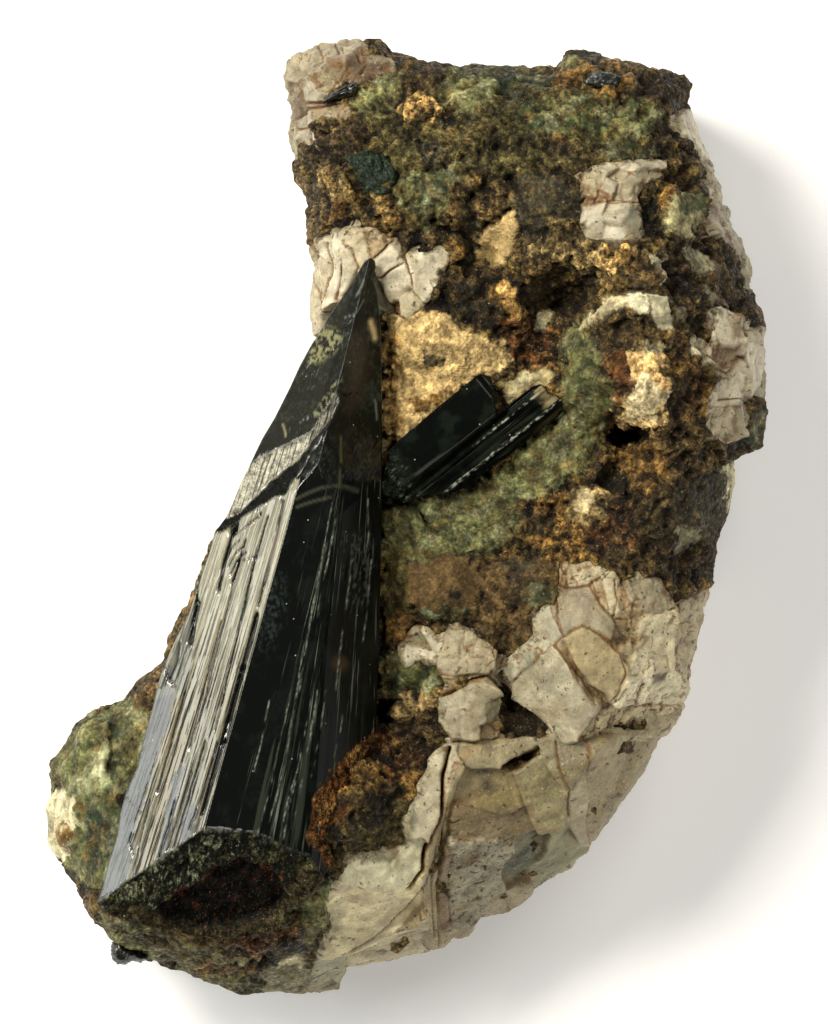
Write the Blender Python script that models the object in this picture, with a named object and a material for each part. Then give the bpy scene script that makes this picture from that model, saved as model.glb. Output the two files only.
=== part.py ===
"""Aegirine crystal on its matrix: a curved hand specimen broken out of a pegmatite pocket.

A black striated prism with a steep tip grew over green and rusty rock, beside a smaller blade with
thin rods and blocks of white feldspar. The specimen lies on its flat broken back, face up. Places
are pixel x, y on the photographed face and heights in millimetres above the resting plane.
"""

import math
import random

import bmesh
import bpy
import numpy as np
from mathutils import Matrix, Vector, noise
from mathutils.geometry import delaunay_2d_cdt

MM = 0.001
SPECIMEN_LENGTH = 120.0 * MM
LENGTH_IN_PIXELS = 961
PIXEL = SPECIMEN_LENGTH / LENGTH_IN_PIXELS
CENTRE_X, CENTRE_Y = 405.0, 517.5
SEAM_GAP = 0.3 * MM
FACET = 2.75 * MM
SEED = 7

# The edge of the rock as seen from above. It runs behind the large crystal on the left.
ROCK_EDGE = [
    (286, 58), (300, 50), (318, 44), (334, 46), (352, 41), (366, 36), (380, 38), (390, 49),
    (404, 52), (420, 57), (442, 61), (462, 62), (484, 60), (508, 63), (534, 67), (557, 66),
    (567, 48), (587, 47), (608, 58), (630, 60), (652, 66), (672, 70), (686, 72), (692, 82),
    (690, 97), (695, 118), (703, 142), (710, 158), (717, 178), (726, 204), (738, 232), (750, 256),
    (754, 276), (758, 300), (768, 326), (764, 344), (770, 362), (765, 384), (770, 410), (764, 446),
    (747, 452), (736, 461), (738, 486), (732, 514), (719, 543), (718, 562), (714, 586), (702, 616),
    (700, 646), (692, 668), (688, 696), (674, 726), (660, 742), (652, 764), (636, 790), (616, 814),
    (598, 836), (583, 857), (562, 877), (536, 894), (512, 917), (482, 921), (468, 940), (440, 951),
    (410, 959), (380, 967), (346, 973), (338, 994), (300, 999), (262, 996), (242, 998), (214, 988),
    (184, 976), (158, 969), (136, 958), (109, 941), (90, 920), (74, 890), (56, 864), (42, 842),
    (41, 812), (50, 790), (48, 766), (60, 744), (72, 724), (96, 709), (120, 700), (138, 681),
    (160, 664), (172, 640), (177, 614), (194, 594), (204, 560), (214, 528), (240, 512), (288, 486),
    (330, 436), (345, 384), (336, 350), (311, 337), (307, 304), (314, 266), (306, 234), (304, 196),
    (293, 172), (290, 136), (290, 104), (283, 78),
]

# The middle of the crescent. The sides lean in towards this line on their way down to the back.
SPINE = [(420, 130), (560, 170), (620, 300), (620, 460), (560, 620), (470, 760), (330, 860), (200, 880), (120, 820)]
SIDE_LEAN = 0.26
SIDE_ROWS = (0.0, 0.16, 0.34, 0.54, 0.76)
RIM_SHARE = 0.80

# Heights of the broken face, in millimetres, area by area.
FACE_HEIGHTS = {
    "crown": [(300, 66, 25), (340, 60, 29), (370, 50, 27), (330, 92, 31), (304, 120, 27), (296, 160, 25)],
    "upper shelf": [
        (400, 72, 30), (460, 82, 33), (520, 84, 33), (572, 62, 30), (610, 84, 34), (660, 88, 32), (680, 98, 29),
        (350, 135, 34), (410, 130, 36), (475, 120, 37), (560, 112, 37), (630, 112, 36), (350, 190, 36),
        (420, 176, 37), (500, 168, 38), (580, 160, 40), (672, 140, 34), (325, 215, 33), (560, 228, 40),
        (620, 205, 41), (678, 205, 38), (714, 225, 29), (738, 262, 25),
    ],
    "left flank": [(312, 240, 27), (330, 265, 32), (312, 310, 25), (345, 320, 30)],
    "above the hollow": [
        (430, 228, 36), (392, 262, 34), (440, 288, 34), (470, 212, 37), (488, 250, 31), (512, 232, 36),
        (540, 268, 40), (600, 262, 42), (650, 262, 43), (700, 268, 38), (738, 300, 31),
    ],
    "dark pocket": [(560, 300, 28), (528, 306, 31), (594, 306, 34), (520, 340, 31), (546, 342, 31)],
    "pale hollow": [
        (400, 336, 35), (445, 330, 34.5), (484, 340, 34.5), (506, 368, 34), (425, 380, 34), (392, 430, 35.5),
    ],
    "right shoulder": [
        (575, 345, 37), (604, 318, 42), (645, 330, 44), (650, 366, 46), (640, 402, 46), (606, 400, 41),
        (625, 437, 33), (655, 442, 40), (684, 396, 43), (702, 352, 41), (742, 350, 35), (762, 362, 27),
        (724, 418, 37), (756, 430, 27), (702, 470, 38), (728, 490, 30), (604, 474, 38), (652, 500, 41),
        (690, 522, 37), (712, 560, 28), (640, 552, 38), (590, 520, 37),
    ],
    "green hollow": [
        (550, 408, 34.5), (560, 470, 36), (552, 510, 36), (500, 480, 34), (450, 515, 34), (398, 520, 35),
        (480, 560, 35), (398, 580, 35), (440, 590, 36.5), (400, 625, 35), (520, 600, 37), (560, 570, 38),
        (500, 645, 34.5), (510, 700, 33),
    ],
    "lower blocks": [
        (430, 650, 35), (470, 655, 37.5), (468, 710, 37.5), (545, 670, 39), (600, 650, 39), (640, 612, 38),
        (684, 620, 32), (640, 690, 35), (678, 690, 28), (600, 738, 35), (640, 750, 29),
    ],
    "rusty pocket": [
        (400, 665, 34.5), (384, 712, 28), (418, 745, 34.5), (350, 770, 38.5), (384, 795, 37.5), (335, 830, 40),
    ],
    "pale foot": [
        (446, 762, 37), (436, 820, 35), (424, 880, 31), (412, 940, 22), (500, 772, 34), (545, 800, 33),
        (582, 770, 35), (580, 830, 27), (622, 790, 25), (500, 850, 29), (552, 862, 22), (500, 900, 21),
        (458, 900, 25), (470, 930, 17), (392, 850, 33), (350, 895, 32), (330, 935, 27), (376, 932, 24),
        (336, 970, 17), (300, 985, 15),
    ],
    "under the broken end": [
        (310, 870, 38.5), (280, 945, 31), (200, 950, 32), (140, 930, 33), (110, 915, 32), (160, 962, 22),
        (240, 985, 20), (205, 975, 20),
    ],
    "left foot": [
        (96, 724, 23), (66, 764, 21), (112, 770, 27), (60, 820, 19), (92, 830, 25), (118, 862, 30),
        (80, 884, 22), (148, 700, 24), (186, 622, 24), (222, 540, 25),
    ],
    "crystal bed": [(200, 740, 27), (260, 640, 27), (300, 560, 27), (340, 460, 27), (330, 700, 28), (240, 830, 30)],
}

random.seed(SEED)


def clear_scene():
    for old in list(bpy.data.objects):
        bpy.data.objects.remove(old, do_unlink=True)


def place(x, y, height=0.0):
    """A photographed pixel and a height in millimetres, as a point in metres."""
    return Vector(((x - CENTRE_X) * PIXEL, (CENTRE_Y - y) * PIXEL, height * MM))


def evenly_along(corners, step, closed=True):
    """Points about one step apart along a chain of corners, each corner kept."""
    ends = corners[1:] + corners[:1] if closed else corners[1:]
    points = []
    for start, end in zip(corners, ends):
        count = max(1, round((end - start).length / step))
        points += [start.lerp(end, i / count) for i in range(count)]
    return points if closed else points + [corners[-1]]


def link(name, mesh):
    piece = bpy.data.objects.new(name, mesh)
    bpy.context.scene.collection.objects.link(piece)
    return piece


def from_bmesh(name, shape):
    bmesh.ops.recalc_face_normals(shape, faces=shape.faces)
    mesh = bpy.data.meshes.new(name)
    shape.to_mesh(mesh)
    shape.free()
    return link(name, mesh)


def as_cutter(piece):
    piece.hide_render = True
    piece.display_type = "WIRE"
    return piece


def discard(piece):
    bpy.data.objects.remove(piece, do_unlink=True)


def combine(piece, other, operation):
    """A Boolean of two closed shapes, applied to the first."""
    tool = piece.modifiers.new(operation.lower(), "BOOLEAN")
    tool.operation = operation
    tool.object = other
    tool.solver = "EXACT"
    graph = bpy.context.evaluated_depsgraph_get()
    graph.update()
    result = bpy.data.meshes.new_from_object(piece.evaluated_get(graph))
    piece.modifiers.remove(tool)
    piece.data = result
    return piece


def keep_largest_body(piece):
    """Drops the loose chips that a cut leaves beside the main body."""
    shape = bmesh.new()
    shape.from_mesh(piece.data)
    bmesh.ops.remove_doubles(shape, verts=shape.verts, dist=0.004 * MM)
    bodies, seen = [], set()
    for start in shape.verts:
        if start in seen:
            continue
        seen.add(start)
        body, waiting = [], [start]
        while waiting:
            vert = waiting.pop()
            body.append(vert)
            for edge in vert.link_edges:
                other = edge.other_vert(vert)
                if other not in seen:
                    seen.add(other)
                    waiting.append(other)
        bodies.append(body)
    bodies.sort(key=len)
    for body in bodies[:-1]:
        bmesh.ops.delete(shape, geom=body, context="VERTS")
    bmesh.ops.dissolve_degenerate(shape, edges=shape.edges, dist=0.004 * MM)
    shape.to_mesh(piece.data)
    shape.free()


def seat_for(piece):
    """A cutter shaped like the piece, its walls standing clear of it all round by the seam."""
    shape = bmesh.new()
    shape.from_mesh(piece.data)
    shape.normal_update()
    pushes = [vert.normal * SEAM_GAP * 1.75 for vert in shape.verts]
    for vert, push in zip(shape.verts, pushes):
        vert.co += push
    return as_cutter(from_bmesh("seat", shape))


def boxes_meet(one, other):
    for axis in range(3):
        one_span = [corner[axis] for corner in one.bound_box]
        other_span = [corner[axis] for corner in other.bound_box]
        if max(one_span) < min(other_span) or max(other_span) < min(one_span):
            return False
    return True


# The broken rock face

def fitted_heights():
    """Weights of a surface of cones through every stated height of the face."""
    stated = [spot for area in FACE_HEIGHTS.values() for spot in area]
    places = np.array([place(x, y)[:2] for x, y, _ in stated])
    heights = np.array([height for _, _, height in stated], float)
    mean = heights.mean()
    reach = np.linalg.norm(places[:, None] - places[None, :], axis=2)
    return places, np.linalg.solve(reach, heights - mean), mean


HEIGHT_PLACES, HEIGHT_WEIGHTS, HEIGHT_MEAN = fitted_heights()


def face_height(point):
    """Height of the rock face at a point, in metres, with the small lumps of broken rock."""
    reach = np.linalg.norm(HEIGHT_PLACES - np.array(point[:2]), axis=1)
    smooth = HEIGHT_MEAN + float(reach @ HEIGHT_WEIGHTS)
    lumps = noise.fractal(Vector((point[0], point[1], 0.0)) * 120, 1.0, 2.0, 3)
    return (smooth + 1.3 * lumps) * MM


def nearest_on_spine(point):
    line = [place(x, y) for x, y in SPINE]
    best = None
    for start, end in zip(line, line[1:]):
        run = end - start
        share = min(1.0, max(0.0, (point - start).dot(run) / run.length_squared))
        spot = start + run * share
        if best is None or (spot - point).length < (best - point).length:
            best = spot
    return best


def build_rock_blank():
    """The whole broken piece before the crystals' seats are cut: face, leaning sides and flat back."""
    rim = evenly_along([place(x, y) for x, y in ROCK_EDGE], FACET)
    rim_count = len(rim)
    face_points = [Vector(point[:2]) for point in rim]
    low_x, high_x = min(p.x for p in rim), max(p.x for p in rim)
    low_y, high_y = min(p.y for p in rim), max(p.y for p in rim)
    row_step = FACET * math.sqrt(3) / 2
    rows = int((high_y - low_y) / row_step)
    edge_array = np.array([point[:2] for point in rim])
    for row in range(1, rows + 1):
        shift = FACET / 2 if row % 2 else 0.0
        for column in range(1, int((high_x - low_x) / FACET) + 1):
            jitter = Vector((random.uniform(-0.3, 0.3), random.uniform(-0.3, 0.3))) * FACET
            spot = Vector((low_x + column * FACET + shift, low_y + row * row_step)) + jitter
            if np.linalg.norm(edge_array - np.array(spot), axis=1).min() > 0.6 * FACET:
                face_points.append(spot)
    loop = [(i, (i + 1) % rim_count) for i in range(rim_count)]
    points, _, triangles, _, _, _ = delaunay_2d_cdt(face_points, loop, [], 1, 1e-7)

    shape = bmesh.new()
    top = []
    for index, point in enumerate(points):
        height = face_height(point)
        if index < rim_count:
            height *= RIM_SHARE
        top.append(shape.verts.new((point.x, point.y, height)))
    for triangle in triangles:
        shape.faces.new([top[i] for i in triangle])

    above = top[:rim_count]
    for share in reversed(SIDE_ROWS):
        below = []
        for index in range(rim_count):
            edge_point = rim[index]
            rim_height = top[index].co.z
            lean = SIDE_LEAN * (1 - share) ** 1.7
            chipped = 1 + 0.55 * noise.noise(Vector((edge_point.x, edge_point.y, share * 0.02)) * 90)
            spot = edge_point.lerp(nearest_on_spine(edge_point), lean * chipped)
            below.append(shape.verts.new((spot.x, spot.y, rim_height * share)))
        for index in range(rim_count):
            after = (index + 1) % rim_count
            shape.faces.new([above[index], above[after], below[after], below[index]])
        above = below
    back = shape.faces.new(above)
    bmesh.ops.triangulate(shape, faces=[back])
    return from_bmesh("rock_blank", shape)


# Shapes of the crystals

def solid_between(faces, inside):
    """The flat-faced solid that holds the inside point, each face a plane through three points."""
    shape = bmesh.new()
    bmesh.ops.create_cube(shape, size=0.4, matrix=Matrix.Translation(inside))
    for first, second, third in faces:
        outward = (second - first).cross(third - first).normalized()
        if outward.dot(inside - first) > 0:
            outward.negate()
        everything = shape.verts[:] + shape.edges[:] + shape.faces[:]
        cut = bmesh.ops.bisect_plane(
            shape, geom=everything, plane_co=first, plane_no=outward, clear_outer=True, dist=1e-7
        )
        rim = [part for part in cut["geom_cut"] if isinstance(part, bmesh.types.BMEdge)]
        if rim:
            bmesh.ops.contextual_create(shape, geom=rim)
    return shape


def hull_of(points):
    shape = bmesh.new()
    verts = [shape.verts.new(point) for point in points]
    made = bmesh.ops.convex_hull(shape, input=verts)
    bmesh.ops.delete(shape, geom=list(set(made["geom_interior"])), context="VERTS")
    return shape


def plate(name, corners, depth):
    """A flat chip: its seen corners, and the same corners a depth lower and drawn in a little."""
    top = [place(*corner) for corner in corners]
    middle = sum(top, Vector()) / len(top)
    bottom = [middle.lerp(corner, 0.86) - Vector((0, 0, depth * MM)) for corner in top]
    return from_bmesh(name, hull_of(top + bottom))


def cleavage_block(x, y, height, length, width, depth, turn, lean_x=0.0, lean_y=0.0):
    """A feldspar block bounded by its cleavages, centred under its top face. Sizes are in mm."""
    shape = bmesh.new()
    bmesh.ops.create_cube(shape, size=1.0)
    bmesh.ops.scale(shape, vec=Vector((length, width, depth)) * MM, verts=shape.verts)
    for vert in shape.verts:
        if vert.co.z > 0:
            vert.co.x *= 0.9
            vert.co.y *= 0.9
        else:
            vert.co.x *= 1.05
            vert.co.y *= 1.05
    bmesh.ops.bevel(
        shape, geom=[e for e in shape.edges if min(v.co.z for v in e.verts) > 0], offset=0.45 * MM,
        segments=1, profile=0.5, affect="EDGES",
    )
    turned = Matrix.Rotation(math.radians(turn), 4, "Z")
    leaned = Matrix.Rotation(math.radians(lean_x), 4, "X") @ Matrix.Rotation(math.radians(lean_y), 4, "Y")
    centre = place(x, y, height) - Vector((0, 0, depth * MM / 2))
    bmesh.ops.transform(shape, matrix=Matrix.Translation(centre) @ leaned @ turned, verts=shape.verts)
    return from_bmesh("block", shape)


def rod(start, end, width, height):
    """A long six-sided rod from one place to another. Width and height are in millimetres."""
    first, last = place(*start), place(*end)
    along = (last - first).normalized()
    across = along.cross(Vector((0, 0, 1))).normalized() * (width * MM / 2)
    upward = across.cross(along).normalized() * (height * MM / 2)
    ring = [(1.0, 0.0), (0.5, 0.9), (-0.5, 0.9), (-1.0, 0.0), (-0.5, -0.9), (0.5, -0.9)]
    points = [end_point + across * u + upward * v for end_point in (first, last) for u, v in ring]
    return from_bmesh("rod", hull_of(points))


def fuse(name, shapes, seats=()):
    """Joins overlapping closed shapes into one body, and returns it with the seats of its shapes."""
    seats = list(seats) + [seat_for(shape) for shape in shapes[len(seats):]]
    body = shapes[0]
    for other in shapes[1:]:
        combine(body, other, "UNION")
        discard(other)
    body.name = name
    keep_largest_body(body)
    return body, seats


# The large crystal

CREST_HIGH, CREST_LOW = (300, 478, 48.0), (205, 828, 48.0)
LEFT_EDGE_LOW, LEFT_EDGE_HIGH = (98, 903, 42.0), (222, 520, 44.1)
TIP, LEFT_SHOULDER, RIDGE_START = (371, 260, 38.4), (252, 461, 43.4), (337, 390, 44.3)
RIDGE_HIGH, TIP_RIGHT = (367, 275, 38.8), (381, 440, 40.0)
STRIATED_LOW, STRIATED_HIGH = (255, 835, 46.7), (335, 500, 46.95)
SIDE_LOW, SIDE_HIGH = (318, 760, 44.3), (338, 488, 46.9)
RIGHT_EDGE_LOW, RIGHT_EDGE_HIGH = (375, 740, 36.5), (381, 440, 38.5)
LEDGE = [(245, 500, 43.9), (284, 470, 44.9), (325, 412, 44.8)]
STEP = [(236, 526, 44.5), (301, 473, 48.0), (272, 480, 44.6)]


def face_of(*spots):
    return [place(*spot) for spot in spots]


def build_main_crystal():
    inside = place(250, 700, 36)
    faces = [
        face_of(CREST_HIGH, CREST_LOW, LEFT_EDGE_LOW),
        face_of(CREST_HIGH, CREST_LOW, STRIATED_LOW),
        face_of(STRIATED_HIGH, STRIATED_LOW, SIDE_LOW),
        face_of(SIDE_HIGH, SIDE_LOW, RIGHT_EDGE_LOW),
        face_of(RIGHT_EDGE_HIGH, RIGHT_EDGE_LOW, (362, 600, 26.0)),
        face_of((381, 410, 37.5), (375, 280, 36.0), (377, 340, 26.0)),
        face_of(LEFT_EDGE_HIGH, LEFT_EDGE_LOW, (196, 700, 27.0)),
        face_of(LEFT_SHOULDER, TIP, (314, 415, 27.0)),
        face_of(TIP, LEFT_SHOULDER, RIDGE_START),
        face_of(RIDGE_START, RIDGE_HIGH, TIP_RIGHT),
        face_of(LEFT_EDGE_LOW, CREST_LOW, (290, 845, 45.0)),
        face_of((100, 918, 40.0), (300, 938, 38.0), (200, 935, 28.0)),
        face_of((378, 732, 40.0), (318, 866, 40.0), (350, 799, 20.0)),
        face_of((200, 700, 27.5), (300, 700, 27.0), (300, 400, 26.5)),
    ]
    body = from_bmesh("aegirine_main_crystal", solid_between(faces, inside))
    # A step across the left face below the tip, where growth stopped and began again.
    step = solid_between([face_of(*LEDGE), face_of(*STEP)], place(300, 400, 60))
    cutter = from_bmesh("step", step)
    combine(body, cutter, "DIFFERENCE")
    discard(cutter)
    return fuse("aegirine_main_crystal", [body])


# The smaller crystals

def build_second_crystal():
    blade = plate(
        "blade",
        [
            (396, 445, 37), (483, 375, 39), (492, 379, 39), (501, 418, 39), (478, 487, 38),
            (440, 497, 37), (390, 501, 35.5), (385, 466, 35.5),
        ],
        9.0,
    )
    rods = [
        rod((446, 499, 35.5), (567, 402, 39.0), 2.3, 3.4),
        rod((462, 478, 36.0), (556, 399, 38.4), 3.0, 3.0),
        rod((480, 440, 37.0), (546, 385, 38.8), 2.0, 3.2),
    ]
    return fuse("aegirine_second_crystal", [blade] + rods)


def build_small_crystals():
    chips = [
        plate(
            "aegirine_small_top",
            [(589, 84, 35), (594, 72, 36), (606, 69, 37.5), (620, 77, 36), (618, 86, 35), (602, 90, 35.5)],
            6.0,
        ),
        plate(
            "aegirine_small_left",
            [(321, 100, 33), (334, 90, 35), (354, 82, 35.5), (356, 90, 35), (350, 98, 34), (332, 99, 34)],
            5.0,
        ),
        plate(
            "aegirine_small_green",
            [
                (345, 157, 36.5), (357, 151, 38), (386, 155, 38.5), (399, 166, 38), (398, 188, 37.5),
                (382, 200, 37.5), (369, 200, 37), (360, 182, 37),
            ],
            6.0,
        ),
        plate(
            "aegirine_small_foot",
            [(108, 938, 22), (120, 930, 24), (148, 948, 22), (146, 962, 17), (126, 967, 18), (110, 960, 19)],
            7.0,
        ),
    ]
    return [fuse(chip.name, [chip]) for chip in chips]


# The feldspar

def widened(corners, amount):
    """An outline moved outward by the same amount on every side."""
    area = sum(a.x * b.y - b.x * a.y for a, b in zip(corners, corners[1:] + corners[:1]))
    outward = 1.0 if area > 0 else -1.0
    moved = []
    for before, corner, after in zip(corners[-1:] + corners[:-1], corners, corners[1:] + corners[:1]):
        first = (corner - before).normalized()
        second = (after - corner).normalized()
        sides = [Vector((run.y, -run.x, 0)) * outward for run in (first, second)]
        shared = (sides[0] + sides[1]).normalized()
        moved.append(corner + shared * amount / max(0.4, shared.dot(sides[0])))
    return moved


def column_over(name, corners, bottom):
    """An upright column over an outline, from a height in millimetres to well above the rock."""
    shape = bmesh.new()
    low = [shape.verts.new((corner.x, corner.y, bottom * MM)) for corner in corners]
    face = shape.faces.new(low)
    raised = bmesh.ops.extrude_face_region(shape, geom=[face])
    top = [part for part in raised["geom"] if isinstance(part, bmesh.types.BMVert)]
    bmesh.ops.translate(shape, vec=Vector((0, 0, 70 * MM)), verts=top)
    return as_cutter(from_bmesh(name, shape))


def region_of_blank(blank, outline, bottom):
    """The part of the rock blank inside an outline and above a depth, and the seat it leaves."""
    corners = [place(x, y) for x, y in outline]
    inner = column_over("column", corners, bottom)
    piece = link("region", blank.data.copy())
    combine(piece, inner, "INTERSECT")
    discard(inner)
    return piece, column_over("seat", widened(corners, SEAM_GAP), bottom - 0.3)

# Each feldspar mass: the outline it fills in the rock and how deep, then the blocks standing on it.
# A block is x, y, height of its top, length, width, depth, turn, and its lean about X and Y.
FELDSPAR_MASSES = {
    "feldspar_crown": (
        [
            (270, 30), (350, 30), (378, 62), (366, 78), (330, 84), (318, 100), (350, 104), (352, 120),
            (318, 128), (308, 152), (270, 150),
        ],
        15.0,
        [],
    ),
    "feldspar_block_row": (
        [
            (290, 250), (322, 236), (345, 226), (388, 224), (404, 244), (448, 246), (440, 276), (418, 310),
            (392, 330), (352, 352), (290, 350),
        ],
        9.0,
        [
            (334, 262, 35.4, 3.4, 8.6, 9, 14, -4, -10), (352, 262, 36.6, 2.8, 7.8, 9, 20, -4, -8),
            (384, 238, 38.4, 4.6, 3.6, 9, 30, 2, 4), (394, 270, 38.2, 4.9, 6.6, 10, -8, -6, 6),
            (426, 270, 38.4, 5.2, 6.0, 10, 18, -4, 8), (408, 304, 36.8, 3.2, 3.2, 8, 22, -6, 0),
        ],
    ),
    "feldspar_right_strip": (
        [
            (668, 112), (740, 100), (800, 290), (750, 286), (736, 258), (706, 236), (712, 190), (702, 160),
            (686, 146),
        ],
        7.0,
        [],
    ),
    "feldspar_right_cluster": (
        [
            (708, 308), (738, 312), (762, 326), (810, 330), (800, 396), (752, 402), (722, 440), (706, 430),
            (702, 400), (724, 376), (706, 344),
        ],
        10.0,
        [
            (722, 334, 38.5, 3.6, 5.4, 6, -24, -2, 6), (740, 356, 37.4, 3.8, 5.2, 6, 12, 0, 14),
            (732, 404, 38.0, 5.6, 6.0, 6, 32, -6, 10),
        ],
    ),
    "feldspar_upper_cluster": (
        [],
        0.0,
        [
            (612, 216, 42.6, 8.2, 6.2, 9, 12, -6, 2), (632, 224, 42.2, 4.0, 5.8, 9, -10, -8, 6),
            (600, 182, 42.0, 3.6, 4.4, 9, -18, 4, -4), (622, 172, 42.2, 5.0, 3.8, 9, 24, 6, 0),
            (650, 170, 41.8, 4.6, 4.2, 9, 20, 6, 4), (624, 192, 42.0, 5.6, 4.0, 9, 22, 0, 0),
        ],
    ),
    "feldspar_middle_pair": (
        [],
        0.0,
        [
            (470, 654, 39.4, 5.8, 6.2, 9, 12, -4, -2), (469, 710, 39.4, 6.2, 7.6, 9, 4, 4, -2),
            (424, 648, 36.8, 5.4, 3.8, 8, -20, -2, -6), (452, 680, 36.6, 6.4, 5.0, 8, 20, 0, 0),
        ],
    ),
    "feldspar_lower_cluster": (
        [
            (588, 560), (624, 572), (640, 576), (664, 580), (676, 604), (740, 570), (740, 736), (664, 738),
            (604, 736), (562, 744), (535, 718), (503, 672), (540, 612), (562, 576),
        ],
        -5.0,
        [
            (552, 688, 41.0, 6.6, 10.4, 10, 38, -6, -6), (596, 660, 41.4, 5.4, 7.6, 9, 34, -3, 2),
            (592, 612, 40.6, 7.2, 6.4, 9, -18, 2, -4), (544, 634, 38.4, 4.0, 5.0, 8, 30, 0, -8),
            (642, 590, 40.2, 5.6, 3.6, 8, 6, 6, 4), (656, 642, 38.6, 5.2, 7.0, 8, -4, 0, 10),
            (614, 598, 41.6, 2.4, 4.6, 8, 20, 2, 0),
        ],
    ),
    "feldspar_foot": (
        [
            (562, 744), (604, 736), (664, 738), (740, 736), (740, 1030), (304, 1030), (312, 950), (326, 922),
            (338, 882), (352, 854), (398, 842), (412, 800), (428, 764), (446, 744), (500, 741), (540, 742),
        ],
        -5.0,
        [
            (502, 752, 37.2, 11.0, 2.6, 10, 8, -2, 0), (572, 764, 37.6, 4.2, 6.0, 10, -16, 2, 6),
            (434, 808, 37.0, 3.2, 13.0, 10, -4, -4, -8),
        ],
    ),
}


def build_feldspar(blank):
    masses = []
    for name, (outline, bottom, blocks) in FELDSPAR_MASSES.items():
        shapes = [cleavage_block(*block) for block in blocks]
        seats = []
        if outline:
            ground, seat = region_of_blank(blank, outline, bottom)
            shapes.insert(0, ground)
            seats.append(seat)
        masses.append(fuse(name, shapes, seats))
    return masses


# Finishes

def finish(name, colour, roughness, metallic=0.0):
    material = bpy.data.materials.new(name)
    material.use_nodes = True
    shader = material.node_tree.nodes["Principled BSDF"]
    shader.inputs["Base Color"].default_value = (*colour, 1.0)
    shader.inputs["Roughness"].default_value = roughness
    shader.inputs["Metallic"].default_value = metallic
    return material


def give_finish(pieces, material):
    for piece in pieces:
        piece.data.materials.clear()
        piece.data.materials.append(material)
        piece.data.set_sharp_from_angle(angle=math.radians(25))


def seat_pieces(pieces):
    """Cuts each later piece clear of every earlier one, so that all sit together with thin seams."""
    for index, (piece, _) in enumerate(pieces):
        for _, seats in pieces[:index]:
            for seat in seats:
                if boxes_meet(piece, seat):
                    combine(piece, seat, "DIFFERENCE")
        if index:
            keep_largest_body(piece)
    for _, seats in pieces:
        for seat in seats:
            discard(seat)


def centre_on_base(pieces):
    """Puts the origin under the middle of the specimen, on its resting plane."""
    corners = [Vector(corner) for piece in pieces for corner in piece.bound_box]
    middle_x = (min(c.x for c in corners) + max(c.x for c in corners)) / 2
    middle_y = (min(c.y for c in corners) + max(c.y for c in corners)) / 2
    lowest = min(c.z for c in corners)
    for piece in pieces:
        piece.data.transform(Matrix.Translation((-middle_x, -middle_y, -lowest)))


clear_scene()
rock_blank = build_rock_blank()
rock_blank.name = "matrix_rock"
crystals = [build_main_crystal(), build_second_crystal(), *build_small_crystals()]
feldspars = build_feldspar(rock_blank)
seated = crystals + feldspars + [(rock_blank, [])]
seat_pieces(seated)
centre_on_base([piece for piece, _ in seated])
give_finish([piece for piece, _ in crystals], finish("aegirine", (0.012, 0.016, 0.012), 0.22))
give_finish([piece for piece, _ in feldspars], finish("feldspar", (0.62, 0.57, 0.46), 0.55))
give_finish([rock_blank], finish("matrix", (0.19, 0.15, 0.09), 0.85))
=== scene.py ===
import math

import bpy
import numpy as np
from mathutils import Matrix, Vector, noise
from mathutils.geometry import delaunay_2d_cdt


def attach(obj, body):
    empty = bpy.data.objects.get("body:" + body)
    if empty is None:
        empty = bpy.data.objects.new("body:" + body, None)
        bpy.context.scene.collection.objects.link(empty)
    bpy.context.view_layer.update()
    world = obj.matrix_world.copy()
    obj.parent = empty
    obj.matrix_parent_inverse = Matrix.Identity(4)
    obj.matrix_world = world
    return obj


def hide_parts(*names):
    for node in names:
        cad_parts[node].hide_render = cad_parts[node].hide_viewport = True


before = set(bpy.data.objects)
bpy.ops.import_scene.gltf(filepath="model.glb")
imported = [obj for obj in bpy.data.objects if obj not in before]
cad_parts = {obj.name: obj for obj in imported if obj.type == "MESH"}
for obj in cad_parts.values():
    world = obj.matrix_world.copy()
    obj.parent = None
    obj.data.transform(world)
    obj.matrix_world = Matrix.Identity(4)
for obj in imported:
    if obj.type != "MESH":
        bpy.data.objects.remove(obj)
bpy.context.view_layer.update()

# The rock. A lump of pegmatite broken out of a pocket wall: fine green groundmass under a rusty, gritty
# crust, with a flat broken back that it rests on. Its broken face is laid out first, as one skin that
# the rock and every feldspar mass are made from, so that all of them meet without gaps.
PIXEL = 120.0 / 961
MIDDLE_X, MIDDLE_Y = 405.5, 517.5
SKIN_STEP, FINE_STEP = 3.0, 2.15


def drawn(text):
    """Spots written as x,y in pixels, or as x,y,z with a height in millimetres."""
    return [tuple(float(number) for number in spot.split(",")) for spot in text.split()]


ROCK_EDGE = drawn("""
    286,58 300,50 318,44 334,46 352,41 366,36 380,38 390,49 404,52 420,57 442,61 462,62 484,60 508,63 534,67
    557,66 567,48 587,47 608,58 630,60 652,66 672,70 686,72 692,82 690,97 695,118 703,142 710,158 717,178
    726,204 738,232 750,256 754,276 758,300 768,326 764,344 770,362 765,384 770,410 764,446 747,452 736,461
    738,486 732,514 719,543 718,562 714,586 702,616 700,646 692,668 688,696 674,726 660,742 652,764 636,790
    616,814 598,836 583,857 562,877 536,894 512,917 482,921 468,940 440,951 410,959 380,967 346,973 338,994
    300,999 262,996 242,998 214,988 184,976 158,969 136,958 109,941 90,920 74,890 56,864 42,842 41,812
    50,790 48,766 60,744 72,724 96,709 120,700 138,681 160,664 172,640 177,614 194,594 204,560 214,528
    240,512 288,486 330,436 345,384 336,350 311,337 307,304 314,266 306,234 304,196 293,172 290,136 290,104
    283,78
""")
SPINE = drawn("420,130 560,170 620,300 620,460 560,620 470,760 330,860 200,880 120,820")
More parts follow.
